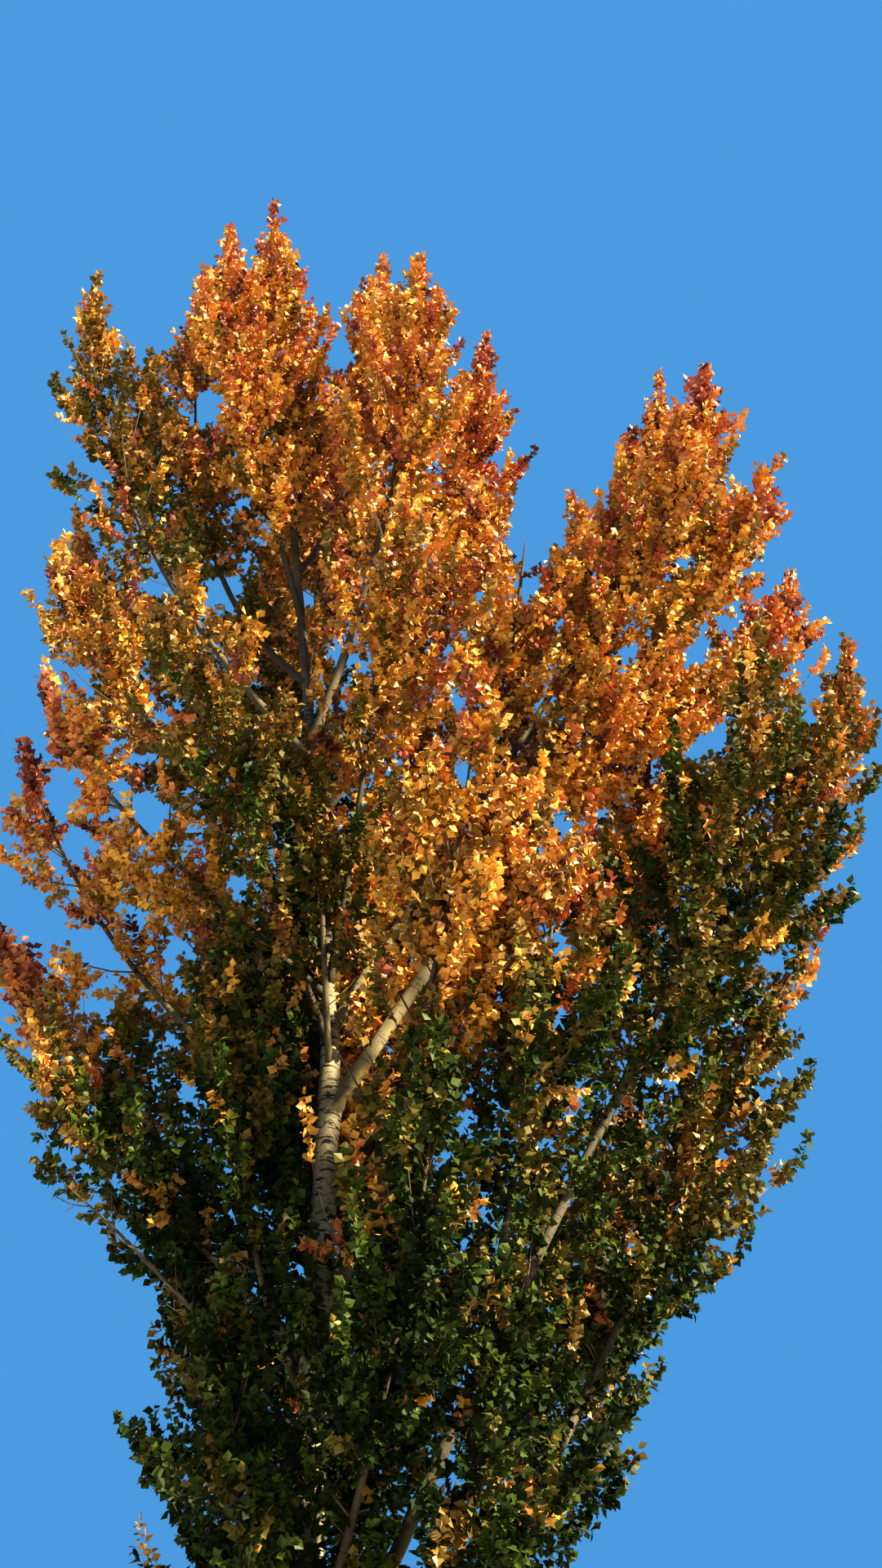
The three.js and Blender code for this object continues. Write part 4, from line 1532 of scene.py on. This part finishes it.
class Bark(Enum):
    """The kinds of bark, by what they grow on."""

    TRUNK = BarkFinish("trunk_bark")
    BOUGH = BarkFinish("bough_bark", pale="9c8b64", shade="736347", moss="655c3b", dashes=0.35, relief=0.003,
                       brown_from=8.9, brown_to=10.4)
    # Painted shade: a darker copy of the bough bark, for the low boughs in the crown's shade.
    LOW_BOUGH = BarkFinish("low_bough_bark", pale="5f533f", shade="463c2e", moss="3f3a28", dashes=0.3,
                           relief=0.003, brown_from=9.0, brown_to=10.6)
    STEM = BarkFinish("stem_bark", pale="5b4f3c", shade="3f3627", moss="3b3724", dashes=0.2, relief=0.002)
    PALE_STEM = BarkFinish("pale_stem_bark", pale="8a7a58", shade="675a42", moss="5a5236", dashes=0.3,
                           relief=0.002, brown_from=8.8, brown_to=9.8)


@dataclass(frozen=True)
class PlainFinish:
    """One even colour, for leaves and twigs, which are too small to show a pattern."""

    name: str
    colour: str
    roughness: float
    shine: float = 0.5

    def material(self) -> Material:
        """Sets the shader's own values.

        Returns:
            The material.
        """
        graph = Graph(self.name)
        graph.shader.inputs["Specular IOR Level"].default_value = self.shine
        return graph.finish(linear(self.colour), self.roughness)


TWIG_BARK = PlainFinish("twig_bark", "5c4c38", 0.8, 0.3)
PALE_FLOOR = PlainFinish("floor_pale", "c4c0b8", 0.8, 0.2)


class Leaf(Enum):
    """The leaves' finishes in the order of turning, each with how far a leaf has turned where it starts. The
    greens are darker than the leaves' own green, as painted shade of the lower crown.
    """

    # Painted shade: the two greens are darkened for the shaded lower crown.
    DEEP_GREEN = (-9.0, PlainFinish("leaf_deep_green", "1e290a", 0.5, 0.12))
    GREEN = (0.07, PlainFinish("leaf_green", "374212", 0.5, 0.15))
    OLIVE = (0.2, PlainFinish("leaf_olive", "574b18", 0.5, 0.25))
    KHAKI = (0.34, PlainFinish("leaf_khaki", "7f5e24", 0.5, 0.4))
    OCHRE = (0.46, PlainFinish("leaf_ochre", "a9762a", 0.5, 0.6))
    YELLOW = (0.55, PlainFinish("leaf_yellow", "d49b3b", 0.5, 0.55))
    GOLD = (0.62, PlainFinish("leaf_gold", "c7843a", 0.5, 0.55))
    AMBER = (0.71, PlainFinish("leaf_amber", "b96c37", 0.5, 0.55))
    ORANGE = (0.81, PlainFinish("leaf_orange", "a65232", 0.5, 0.55))
    RUST = (0.9, PlainFinish("leaf_rust", "7c331e", 0.5, 0.7))
    RUSSET = (1.0, PlainFinish("leaf_russet", "4c1e17", 0.5, 0.5))


@dataclass(frozen=True)
class LeafColours:
    """Deals out the leaves' finishes by spray: by how far the leaves of each mass have turned, and by place,
    with painted shade near the trunk and painted sunlight above the fork on the sunny side.

    Attributes:
        wander: How much the turning wanders from place to place.
        wander_length: The length over which it does.
        scatter: How much it differs from spray to spray.
        shade: How much less the sprays near the middle of the tree have turned: painted shade, as greener,
            darker finishes.
        shade_reach: How far from the trunk that goes.
        shade_top: Up to which height.
        shade_fades: The height below that where it starts to fade.
        accent_share: The share of sprays that have turned early.
        accent: By how much.
        inner_turning: How far the inner sprays have turned, kept low partly as painted shade inside the
            crown.
        painted_sun_turning: How much more they have turned on the sunny side, above the fork: painted
            sunlight, as golden finishes.
        fork_heights: The heights where that starts and is reached.
        sunny_side: The same across the tree.
    """

    wander: float = 0.1
    wander_length: float = 0.55
    scatter: float = 0.1
    shade: float = 0.24
    shade_reach: float = 1.0
    shade_top: float = 15.0
    shade_fades: float = 2
    accent_share: float = 0.09
    accent: float = 0.34
    inner_turning: float = 0.12
    painted_sun_turning: float = 0.48
    fork_heights: Pair = (7.6, 8.7)
    sunny_side: Pair = (-0.35, 0.1)

    def of_shoots(self, limb: Limb, shoots: Shoots, trunk: Trunk, rng: np.random.Generator) -> Array:
        """Deals out the finishes of a mass.

        Args:
            limb: The limb whose mass the shoots belong to.
            shoots: The shoots.
            trunk: The trunk, near which leaves stay green.
            rng: Where the chances come from.

        Returns:
            The place in Leaf of each one's finish.
        """
        turning = lerp(limb.tint[0], limb.tint[1], shoots.share)
        turning = turning + self.wander * ripple(shoots.tip, self.wander_length, 2.7)
        turning += rng.normal(0, self.scatter, len(shoots))
        # Painted shade: near the trunk and below shade_top, sprays get greener, darker finishes, except on
        # the sunny side above the fork.
        apart = np.linalg.norm((shoots.tip - trunk.point(shoots.tip[:, 2]))[:, :2], axis=1)
        low = 1 - smoothstep(shoots.tip[:, 2], self.shade_top - self.shade_fades, self.shade_top)
        turning -= self.shade * np.clip(1 - apart / self.shade_reach, 0, 1) * low * (1 - self.lit(shoots))
        turning += self.accent * (rng.random(len(shoots)) < self.accent_share)
        return self.finishes(turning)

    def lit(self, shoots: Shoots) -> Array:
        """Gives 1 above the fork on the sunny side of the trunk, and 0 below it or on the other side."""
        x, _, height = shoots.tip.T
        return smoothstep(x, *self.sunny_side) * smoothstep(height, *self.fork_heights)

    def inside(self, shoots: Shoots, rng: np.random.Generator) -> Array:
        """Deals out those of the inner shoots: green low down, and golden above the fork on the sunny side as
        painted sunlight.

        Args:
            shoots: The shoots.
            rng: Where the chances come from.

        Returns:
            The place in Leaf of each one's finish.
        """
        turning = rng.normal(self.inner_turning, self.scatter, len(shoots))
        # Painted sunlight: golden finishes above the fork on the sunny side.
        turning = self.painted_sun_turning * self.lit(shoots) + turning
        turning += 2 * self.accent * (rng.random(len(shoots)) < self.accent_share)
        return self.finishes(turning)

    def finishes(self, turning: Array) -> Array:
        """Gives the place in Leaf for each value of turning."""
        starts = np.array([leaf.value[0] for leaf in Leaf])
        return np.searchsorted(starts, turning, side="right") - 1


@dataclass(frozen=True)
class Scar:
    """The brow-shaped scar of a shed branch.

    Attributes:
        height: Its height on the trunk.
        angle: Degrees round the trunk, from the side that faces -Y towards -X.
        half_width: Half its width.
        rise: How far its middle stands above its ends.
        line: Thickness of its line.
        eye: Whether a dark spot stands under the brow.
    """

    height: float
    angle: float
    half_width: float
    rise: float
    line: float = 0.008
    eye: bool = True

    def mark(self, height: Array, angle: Array, radius: Array) -> Array:
        """Gives how dark the scar makes the bark.

        Args:
            height: Heights on the trunk.
            angle: Angles round it.
            radius: The trunk's radius there.

        Returns:
            From 0 for clear bark to 1.
        """
        away = (angle - math.radians(self.angle) + np.pi) % (2 * np.pi) - np.pi
        across = away * radius / self.half_width
        brow = self.height + self.rise * (1 - np.abs(across) ** 0.8)
        window = 1 - smoothstep(np.abs(across), 0.95, 1.1)
        line = np.exp(-(((height - brow) / self.line) ** 2)) * window
        if not self.eye:
            return line
        eye = (across / 0.34) ** 2 + ((height - self.height - 0.3 * self.rise) / (0.32 * self.rise)) ** 2
        return np.maximum(line, 1 - smoothstep(eye, 0.5, 1.1))


def set_straight(mesh: bpy.types.Mesh, places: Array) -> None:
    """Stores each point's place on the limb made straight, for the bark to read."""
    data = mesh.attributes.new(STRAIGHT, "FLOAT_VECTOR", "POINT").data
    data.foreach_set("vector", places.astype(np.float32).ravel())


def straightened(angle: Array, radius: Array, height: Array) -> Array:
    """Gives places on a limb made straight and upright."""
    return np.stack([np.cos(angle) * radius, np.sin(angle) * radius, height], 1)


@dataclass
class Rod:
    """A closed rod that starts as an upright cylinder cut into rings, and takes the shape of a limb."""

    name: str
    sides: int
    steps: int
    most_cuts: int = 90

    def upright(self) -> Object:
        """Adds the cylinder, of height 1 and radius 1, and cuts it into rings.

        Returns:
            The rod.
        """
        bpy.ops.object.select_all(action="DESELECT")
        bpy.ops.mesh.primitive_cylinder_add(vertices=self.sides, radius=1, depth=1, end_fill_type="TRIFAN")
        rod = bpy.context.object
        rod.name = rod.data.name = self.name
        bpy.ops.object.mode_set(mode="EDIT")
        remaining = self.steps
        while remaining > 1:
            cuts = min(remaining, self.most_cuts) - 1
            self.select_walls(rod)
            bpy.ops.mesh.subdivide(number_cuts=cuts)
            remaining = math.ceil(remaining / (cuts + 1))
        bpy.ops.object.mode_set(mode="OBJECT")
        return rod

    def select_walls(self, rod: Object) -> None:
        """Selects the edges that run along the rod.

        Args:
            rod: The rod, in edit mode.
        """
        bpy.ops.mesh.select_all(action="DESELECT")
        cage = bmesh.from_edit_mesh(rod.data)
        for edge in cage.edges:
            low, high = edge.verts
            edge.select = abs(high.co.z - low.co.z) > 1e-6
        bmesh.update_edit_mesh(rod.data)

    def shaped(self, surface: Callable[[Array, Array, Array], tuple[Array, Array, Array]]) -> Object:
        """Gives the rod its shape.

        Args:
            surface: From each point's share along the rod, its angle round it, and 1 on the rim or 0 in the
                middle of an end, works out its place, its place on the limb made straight, and its scar.

        Returns:
            The rod, at the origin, with its attributes.
        """
        rod = self.upright()
        mesh = rod.data
        points = np.empty(len(mesh.vertices) * 3, np.float32)
        mesh.vertices.foreach_get("co", points)
        x, y, z = points.reshape(-1, 3).T.astype(float)
        rim = (np.hypot(x, y) > 0.5).astype(float)
        places, straight, scars = surface(z + 0.5, np.arctan2(y, x), rim)
        mesh.vertices.foreach_set("co", places.astype(np.float32).ravel())
        set_straight(mesh, straight)
        mesh.attributes.new(SCAR, "FLOAT", "POINT").data.foreach_set("value", scars.astype(np.float32))
        bpy.ops.object.mode_set(mode="EDIT")
        bpy.ops.mesh.select_all(action="SELECT")
        bpy.ops.mesh.normals_make_consistent(inside=False)
        bpy.ops.object.mode_set(mode="OBJECT")
        bpy.ops.object.shade_smooth()
        return rod


def shown(piece: Object, slot: str, *nodes: str) -> None:
    """Puts a piece in the frame in place of some solids, and reports it.

    Args:
        piece: The new piece.
        slot: Not used.
        nodes: The solids that it stands for.
    """
    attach(piece, BODY)
    if nodes:
        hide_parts(*nodes)
    corners = np.empty(len(piece.data.polygons), np.int32)
    piece.data.polygons.foreach_get("loop_total", corners)
    log.info("%s: %d triangles", piece.name, int((corners - 2).sum()))


def ring_offsets(tangent: Array, side: Array, angle: Array) -> Array:
    """Gives the directions from a limb's middle line to its bark, at angles that start opposite to a side."""
    normal = square_to(tangent, side)
    return turned(np.cross(tangent, normal), normal, angle)


@dataclass
class BarkedTrunk:
    """The trunk with its bark: furrows low down, swellings under the boughs, and scars about the fork."""

    skeleton: Skeleton
    sides: int = 60
    steps: int = 400
    fine_from: float = 7.3
    fine_to: float = 9.2
    fine_step: float = 0.0085
    furrow_count: int = 13
    furrow_depth: float = 0.014
    furrow_height: float = 1.3
    lump: float = 0.0028
    lump_length: float = 0.12
    brow_depth: float = 0.005
    swelling: float = 0.25
    swelling_height: float = 2.2
    swelling_width: float = 0.7
    scars: tuple[Scar, ...] = (
        Scar(8.37, 1, 0.076, 0.115),
        Scar(8.35, 0, 0.6, 0.02, eye=False),
        Scar(8.25, -27, 0.045, 0.09),
        Scar(8.27, 8, 0.05, -0.05, eye=False),
        Scar(8.23, -30, 0.07, 0.006, eye=False),
        Scar(8.125, -17, 0.066, 0.05),
        Scar(7.955, -12, 0.069, 0.055),
        Scar(7.865, -27, 0.06, 0.01, 0.01, False),
        Scar(7.72, -14, 0.06, 0.008, eye=False),
        Scar(8.985, -8, 0.06, 0.045),
        Scar(9.05, 0, 0.6, 0.03, 0.016, False),
        Scar(8.67, -10, 0.055, 0.006, eye=False),
        Scar(8.55, -20, 0.05, 0.005, eye=False),
        Scar(7.5, 30, 0.05, 0.035),
        Scar(7.36, -20, 0.06, 0.045),
        Scar(8.60, 150, 0.06, 0.045),
        Scar(7.84, 118, 0.055, 0.04),
        Scar(8.22, -120, 0.055, 0.04),
    )

    def heights(self, share: Array) -> Array:
        """Spaces the rings: close together about the fork, and evenly elsewhere.

        Args:
            share: Places from 0 at the foot of the rod to 1 at its top.

        Returns:
            The height on the trunk of each.
        """
        fine = round((self.fine_to - self.fine_from) / self.fine_step)
        coarse = self.steps - fine
        end = self.skeleton.trunk.end
        below = round(coarse * self.fine_from / (end - self.fine_to + self.fine_from))
        knots = np.array([0, below, below + fine, self.steps]) / self.steps
        return np.interp(share, knots, [0, self.fine_from, self.fine_to, end])

    def surface(self, share: Array, angle: Array, rim: Array) -> tuple[Array, Array, Array]:
        """Works out the bark's places, as Rod.shaped asks.

        Args:
            share: Shares along the rod.
            angle: Angles round it.
            rim: 1 on the rim, and 0 in the middle of an end.

        Returns:
            The places, the places made straight, and the scars.
        """
        trunk = self.skeleton.trunk
        height = self.heights(share)
        base = trunk.radius(height, angle)
        round_it = np.stack([np.cos(angle), np.sin(angle), height], 1)
        scars = np.max([scar.mark(height, angle, base) for scar in self.scars], axis=0) * rim
        old = np.exp(-height / self.furrow_height)
        relief = self.furrow_depth * old * (self.furrows(height, angle) - 0.4) * 0.5
        relief += self.lump * ripple(round_it * (0.3, 0.3, 1), self.lump_length, 1.3)
        relief += self.swellings(height, angle) - self.brow_depth * scars
        radius = (base + relief) * rim
        tangent = np.broadcast_to(UP, (len(height), 3))
        places = trunk.point(height) + ring_offsets(tangent, AWAY, angle) * radius[:, None]
        return places, straightened(angle, base * rim, height), scars

    def furrows(self, height: Array, angle: Array) -> Array:
        """Gives the waves of the old bark, from -1 to 1."""
        return np.sin(self.furrow_count * angle + 1.6 * np.sin(2.1 * height) + np.sin(5 * angle + 3 * height))

    def swellings(self, height: Array, angle: Array) -> Array:
        """Gives how far the bark stands proud under the feet of the limbs.

        Args:
            height: Heights on the trunk.
            angle: Angles round it.

        Returns:
            The rise at each.
        """
        total = np.zeros_like(height)
        for limb in (*LIMBS[1:], DEAD_LIMB):
            if limb.host != TRUNK:
                continue
            tangent = self.skeleton.lines[limb.name].tangent(0.02)
            facing = math.atan2(-tangent[0], -tangent[1])
            away = (angle - facing + np.pi) % (2 * np.pi) - np.pi
            size = limb.girth * self.swelling_height
            over = (height - limb.at - size * 0.2) / size
            beside = away / self.swelling_width
            total += self.swelling * limb.girth * np.exp(-(over**2)) * np.exp(-(beside**2))
        return total

    def build(self, finish: Material) -> None:
        """Makes the trunk.

        Args:
            finish: Its bark.
        """
        rod = Rod("trunk_bark", self.sides, self.steps).shaped(self.surface)
        rod.data.materials.append(finish)
        shown(rod, "trunk_bark", TRUNK)


@dataclass
class BarkedLimb:
    """Part of a limb with its bark, from one share of its length to another."""

    skeleton: Skeleton
    limb: Limb
    start: float
    end: float
    sides: int = 18
    step: float = 0.055
    fewest_steps: int = 6
    lump: float = 0.07
    lump_length: float = 1.1
    knot: float = 0.14
    knot_length: float = 0.7
    straight_from: float = 3
    pointed: bool = False

    def surface(self, share: Array, angle: Array, rim: Array) -> tuple[Array, Array, Array]:
        """Works out the bark's places, as Rod.shaped asks.

        Args:
            share: Shares along the rod.
            angle: Angles round it.
            rim: 1 on the rim, and 0 in the middle of an end.

        Returns:
            The places, the places made straight, and the scars.
        """
        line = self.skeleton.lines[self.limb.name]
        t = lerp(self.start, self.end, share)
        base = self.skeleton.radius(self.limb, t)
        side = square_to(line.corners[3] - line.corners[0], UP)
        run = t * line.length()
        round_it = np.stack([np.cos(angle), np.sin(angle), run * 3], 1)
        lumps = self.lump * base * ripple(round_it, self.lump_length, self.limb.at)
        knots = smoothstep(ripple(round_it, self.knot_length, 4 * self.limb.girth), 0.75, 1.0)
        knots *= self.knot * base
        radius = (base + (lumps + knots) * smoothstep(t, 0, 0.04)) * rim
        if self.pointed:
            radius = radius * (1 - share**8)
        places = line.point(t) + ring_offsets(line.tangent(t), side, angle) * radius[:, None]
        return places, straightened(angle, base * rim, run + self.straight_from), np.zeros_like(t)

    def rod(self, name: str) -> Object:
        """Makes the limb's mesh under a name."""
        length = self.skeleton.lines[self.limb.name].length() * (self.end - self.start)
        return Rod(name, self.sides, max(self.fewest_steps, round(length / self.step))).shaped(self.surface)


@dataclass
class Boughs:
    """The bare shares of the main limbs, each a piece of its own with bark."""

    skeleton: Skeleton
    pale_from: float = 8.0

    def build(self, pale: Material, brown: Material) -> None:
        """Makes every bough.

        Args:
            pale: The bark of those that leave the trunk about its fork or higher.
            brown: The bark of the others, a darker copy that paints the shade of the lower crown.
        """
        for limb in LIMBS:
            if limb.bough:
                rod = BarkedLimb(self.skeleton, limb, 0, limb.bare).rod(f"bough_bark_{limb.name}")
                rod.data.materials.append(pale if limb.host == TRUNK and limb.at > self.pale_from else brown)
                shown(rod, "bough_bark", f"bough_{limb.name}")


@dataclass
class DeadLimb:
    """The bare limb low on the left, with its curved twigs."""

    skeleton: Skeleton
    twig_count: int = 6
    twigs_from: float = 0.45
    twig_length: float = 0.38
    twig_radius: float = 0.006
    twig_spread: float = 42
    twig_lift: float = 0.9
    finer: tuple[float, ...] = (0.35, 0.6, 0.8)  # where finer twigs stand on each
    finer_spread: float = 1.2
    finer_radius: float = 0.45
    seed: int = 9001

    def twigs(self) -> Shoots:
        """Grows the twigs by the source's stream, and finer ones on them.

        Returns:
            The twigs.
        """
        line = self.skeleton.lines[DEAD_LIMB.name]
        stream = park_miller(self.seed)
        order = np.arange(self.twig_count)
        t = lerp(self.twigs_from, 0.95, order / self.twig_count)
        length = self.twig_length * np.array([0.7 + 0.7 * next(stream) for _ in order])
        spread = np.full(self.twig_count, math.radians(self.twig_spread))
        radius = np.full(self.twig_count, self.twig_radius)
        main = shoots_from(line, t, order * GOLDEN_ANGLE, spread, length, self.twig_lift, radius, t)
        groups = [main]
        for i, place in enumerate(self.finer):
            angle = order * GOLDEN_ANGLE * 2 + i * math.pi
            finer_length = length * (0.6 - 0.3 * place)
            groups.append(shoots_from(main, place, angle, spread * self.finer_spread, finer_length,
                                      self.twig_lift / 2, radius * self.finer_radius, t))
        return Shoots.joined(groups)

    def build(self, finish: Material) -> None:
        """Makes the limb and its twigs.

        Args:
            finish: The dead wood.
        """
        wood = BarkedLimb(self.skeleton, DEAD_LIMB, 0, 1, sides=12, pointed=True).rod("dead_limb_wood")
        wood.data.materials.append(finish)
        joined = Joined()
        joined.bent_tubes(self.twigs(), 5, 5)
        twigs = joined.piece("dead_limb_twigs", [finish], smooth=True)
        set_straight(twigs.data, np.concatenate(joined.points))
        for piece in (wood, twigs):
            shown(piece, "dead_wood", DEAD_LIMB.name)


@dataclass
class Foliage:
    """The masses of foliage: for each, a barked stem, one piece of twigs and shoots, and one of leaves."""

    skeleton: Skeleton
    growth: Growth
    leaf: LeafShape = LeafShape()
    colours: LeafColours = LeafColours()
    pale_stem: str = "front_middle"
    stem_sides: int = 8
    stem_step: float = 0.13
    seed: int = 7001
    inner_seed: int = 7000
    slot_tops: tuple[tuple[float, str], ...] = (
        (8.5, "foliage_green"),
        (12.5, "foliage_olive"),
        (17.5, "foliage_gold"),
        (math.inf, "foliage_orange"),
    )

    def build(self, pale: Material, bark: Material, wood: Material,
              leaves: list[Material]) -> None:
        """Makes every mass, and the foliage inside the crown.

        Args:
            pale: The bark of the stem that stands before the trunk, above the fork.
            bark: The bark of the other stems.
            wood: The bark of thin wood.
            leaves: The leaves' finishes, in the order of Leaf.
        """
        for mass, limb in enumerate(LIMBS):
            rng = np.random.default_rng(self.seed + mass)
            twigs, shoots = self.growth.grow(mass)
            stem = self.stem(limb, pale if limb.name == self.pale_stem else bark)
            shown(stem, "bough_bark", limb.leafy_node)
            shown(self.thin_wood(limb.name, twigs, shoots, wood), "bough_bark", limb.leafy_node)
            finishes = self.colours.of_shoots(limb, shoots, self.skeleton.trunk, rng)
            joined = Joined()
            count = self.leaf.on_shoots(shoots, finishes, joined, rng)
            blades = joined.piece(f"leaves_{limb.name}", leaves, smooth=False)
            shown(blades, self.slot_of(limb), limb.leafy_node)
            log.info("%s: %d leaves on %d shoots and %d twigs", limb.name, count, len(shoots), len(twigs))
        self.inside(wood, leaves)

    def inside(self, wood: Material, leaves: list[Material]) -> None:
        """Makes the twigs and leaves on the bare parts of the trunk and of some limbs.

        Args:
            wood: The bark of thin wood.
            leaves: The leaves' finishes, in the order of Leaf.
        """
        rng = np.random.default_rng(self.inner_seed)
        grown = [self.growth.inner(number) for number in range(len(self.growth.inner_groups))]
        twigs, shoots = (Shoots.joined(list(groups)) for groups in zip(*grown))
        blades = Joined()
        count = self.leaf.on_shoots(shoots, self.colours.inside(shoots, rng), blades, rng)
        log.info("inside: %d leaves on %d shoots and %d twigs", count, len(shoots), len(twigs))
        shown(self.thin_wood("inside", twigs, shoots, wood), "bough_bark")
        shown(blades.piece("leaves_inside", leaves, smooth=False), "foliage_green")

    def stem(self, limb: Limb, finish: Material) -> Object:
        """Makes the stem of one mass, from the tip of its bough or from the trunk.

        Args:
            limb: The limb.
            finish: Its bark.

        Returns:
            The object.
        """
        start = limb.bare if limb.bough else self.foot_share(limb)
        end = lerp(limb.bare, 1, limb.ends)
        barked = BarkedLimb(self.skeleton, limb, start, end, self.stem_sides, self.stem_step, pointed=True)
        rod = barked.rod(f"stem_bark_{limb.name}")
        rod.data.materials.append(finish)
        return rod

    def thin_wood(self, name: str, twigs: Shoots, shoots: Shoots, finish: Material) -> Object:
        """Makes the twigs and shoots of one mass.

        Args:
            name: What carries them.
            twigs: Its twigs.
            shoots: Its leafy shoots.
            finish: The bark of thin wood.

        Returns:
            The piece.
        """
        joined = Joined()
        joined.bent_tubes(twigs, 4, 3)
        joined.bent_tubes(shoots, 3, 1)
        return joined.piece(f"twigs_{name}", [finish], smooth=True)

    def foot_share(self, limb: Limb) -> float:
        """Gives the share of a limb where its stem starts: its foot, or the trunk's top for the leader."""
        return 0 if limb.fork > 0 else (self.skeleton.trunk.end - limb.at) / (limb.top - limb.at)

    def slot_of(self, limb: Limb) -> str:
        """Gives the record's slot for a mass, by the height of its middle."""
        middle = self.skeleton.lines[limb.name].point(lerp(limb.bare, 1, 0.5))[2]
        return next(slot for top, slot in self.slot_tops if middle < top)


@dataclass(frozen=True)
class Sun:
    """A broad even light.

    Attributes:
        name: Its name.
        turn: How it is turned from straight down, in degrees.
        strength: Its strength.
        softness: The angle that it takes in the sky, in degrees.
        colour: Its colour.
    """

    name: str
    turn: Triple
    strength: float
    softness: float
    colour: str

    def build(self) -> None:
        """Adds the light."""
        bpy.ops.object.light_add(type="SUN", rotation=[math.radians(angle) for angle in self.turn])
        lamp = bpy.context.object
        lamp.name = self.name
        lamp.data.energy = self.strength
        lamp.data.angle = math.radians(self.softness)
        lamp.data.color = linear(self.colour)[:3]


@dataclass(frozen=True)
class Studio:
    """The floor, the lights and the camera that looks up at the crown from the ground.

    Attributes:
        eye: Where the camera stands, 1.6 m above the ground.
        pitch: Degrees that it looks up from level.
        lens: Its focal length on the long side of its sensor, in millimetres.
        sensor: That side.
        sight: How far it sees.
        backdrop: The colour of the plain backdrop.
        backdrop_strength: How brightly it shines.
        floor_size: The floor's side.
        lights: The lights.
    """

    eye: Triple = EYE
    pitch: float = 40.5
    lens: float = 37.5
    sensor: float = 36
    sight: float = 500
    backdrop: str = "5195d0"
    backdrop_strength: float = 1.0
    floor_size: float = 240
    lights: tuple[Sun, ...] = (
        Sun("key", (60, 0, 56), 16, 3, "fff5ce"),
        Sun("fill", (52, 0, -150), 0.4, 40, "ffe8c8"),
    )

    def build(self) -> None:
        """Makes everything."""
        self.floor()
        for light in self.lights:
            light.build()
        self.sky()
        self.camera()

    def floor(self) -> None:
        """Lays a plain pale floor."""
        bpy.ops.mesh.primitive_plane_add(size=self.floor_size)
        floor = bpy.context.object
        floor.name = "floor"
        floor.data.materials.append(PALE_FLOOR.material())

    def sky(self) -> None:
        """Hangs the plain backdrop and sets how the picture shows its colours."""
        world = bpy.data.worlds.new("backdrop")
        world.use_nodes = True
        background = world.node_tree.nodes["Background"]
        background.inputs["Color"].default_value = linear(self.backdrop)
        background.inputs["Strength"].default_value = self.backdrop_strength
        bpy.context.scene.world = world
        bpy.context.scene.view_settings.view_transform = "Standard"
        bpy.context.scene.view_settings.look = "Medium High Contrast"

    def camera(self) -> None:
        """Sets up the camera."""
        bpy.ops.object.camera_add(location=self.eye, rotation=(math.radians(90 + self.pitch), 0, 0))
        camera = bpy.context.object
        camera.data.sensor_width = self.sensor
        camera.data.lens = self.lens
        camera.data.clip_end = self.sight
        bpy.context.scene.camera = camera


def main() -> None:
    """Builds the tree from its trunk to its leaves, then the studio."""
    logging.basicConfig(level=logging.INFO, format="%(message)s")
    skeleton = Skeleton()
    BarkedTrunk(skeleton).build(Bark.TRUNK.value.material())
    Boughs(skeleton).build(Bark.BOUGH.value.material(), Bark.LOW_BOUGH.value.material())
    DeadLimb(skeleton).build(DeadWoodFinish().material())
    twig_bark = TWIG_BARK.material()
    growth = Growth(skeleton, OwnSpaces(skeleton), LimbSpace(skeleton), Partings(skeleton))
    leaves = [leaf.value[1].material() for leaf in Leaf]
    pale_stem, stem = Bark.PALE_STEM.value.material(), Bark.STEM.value.material()
    Foliage(skeleton, growth).build(pale_stem, stem, twig_bark, leaves)
    Studio().build()
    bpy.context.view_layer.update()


if __name__ == "__main__":
    main()
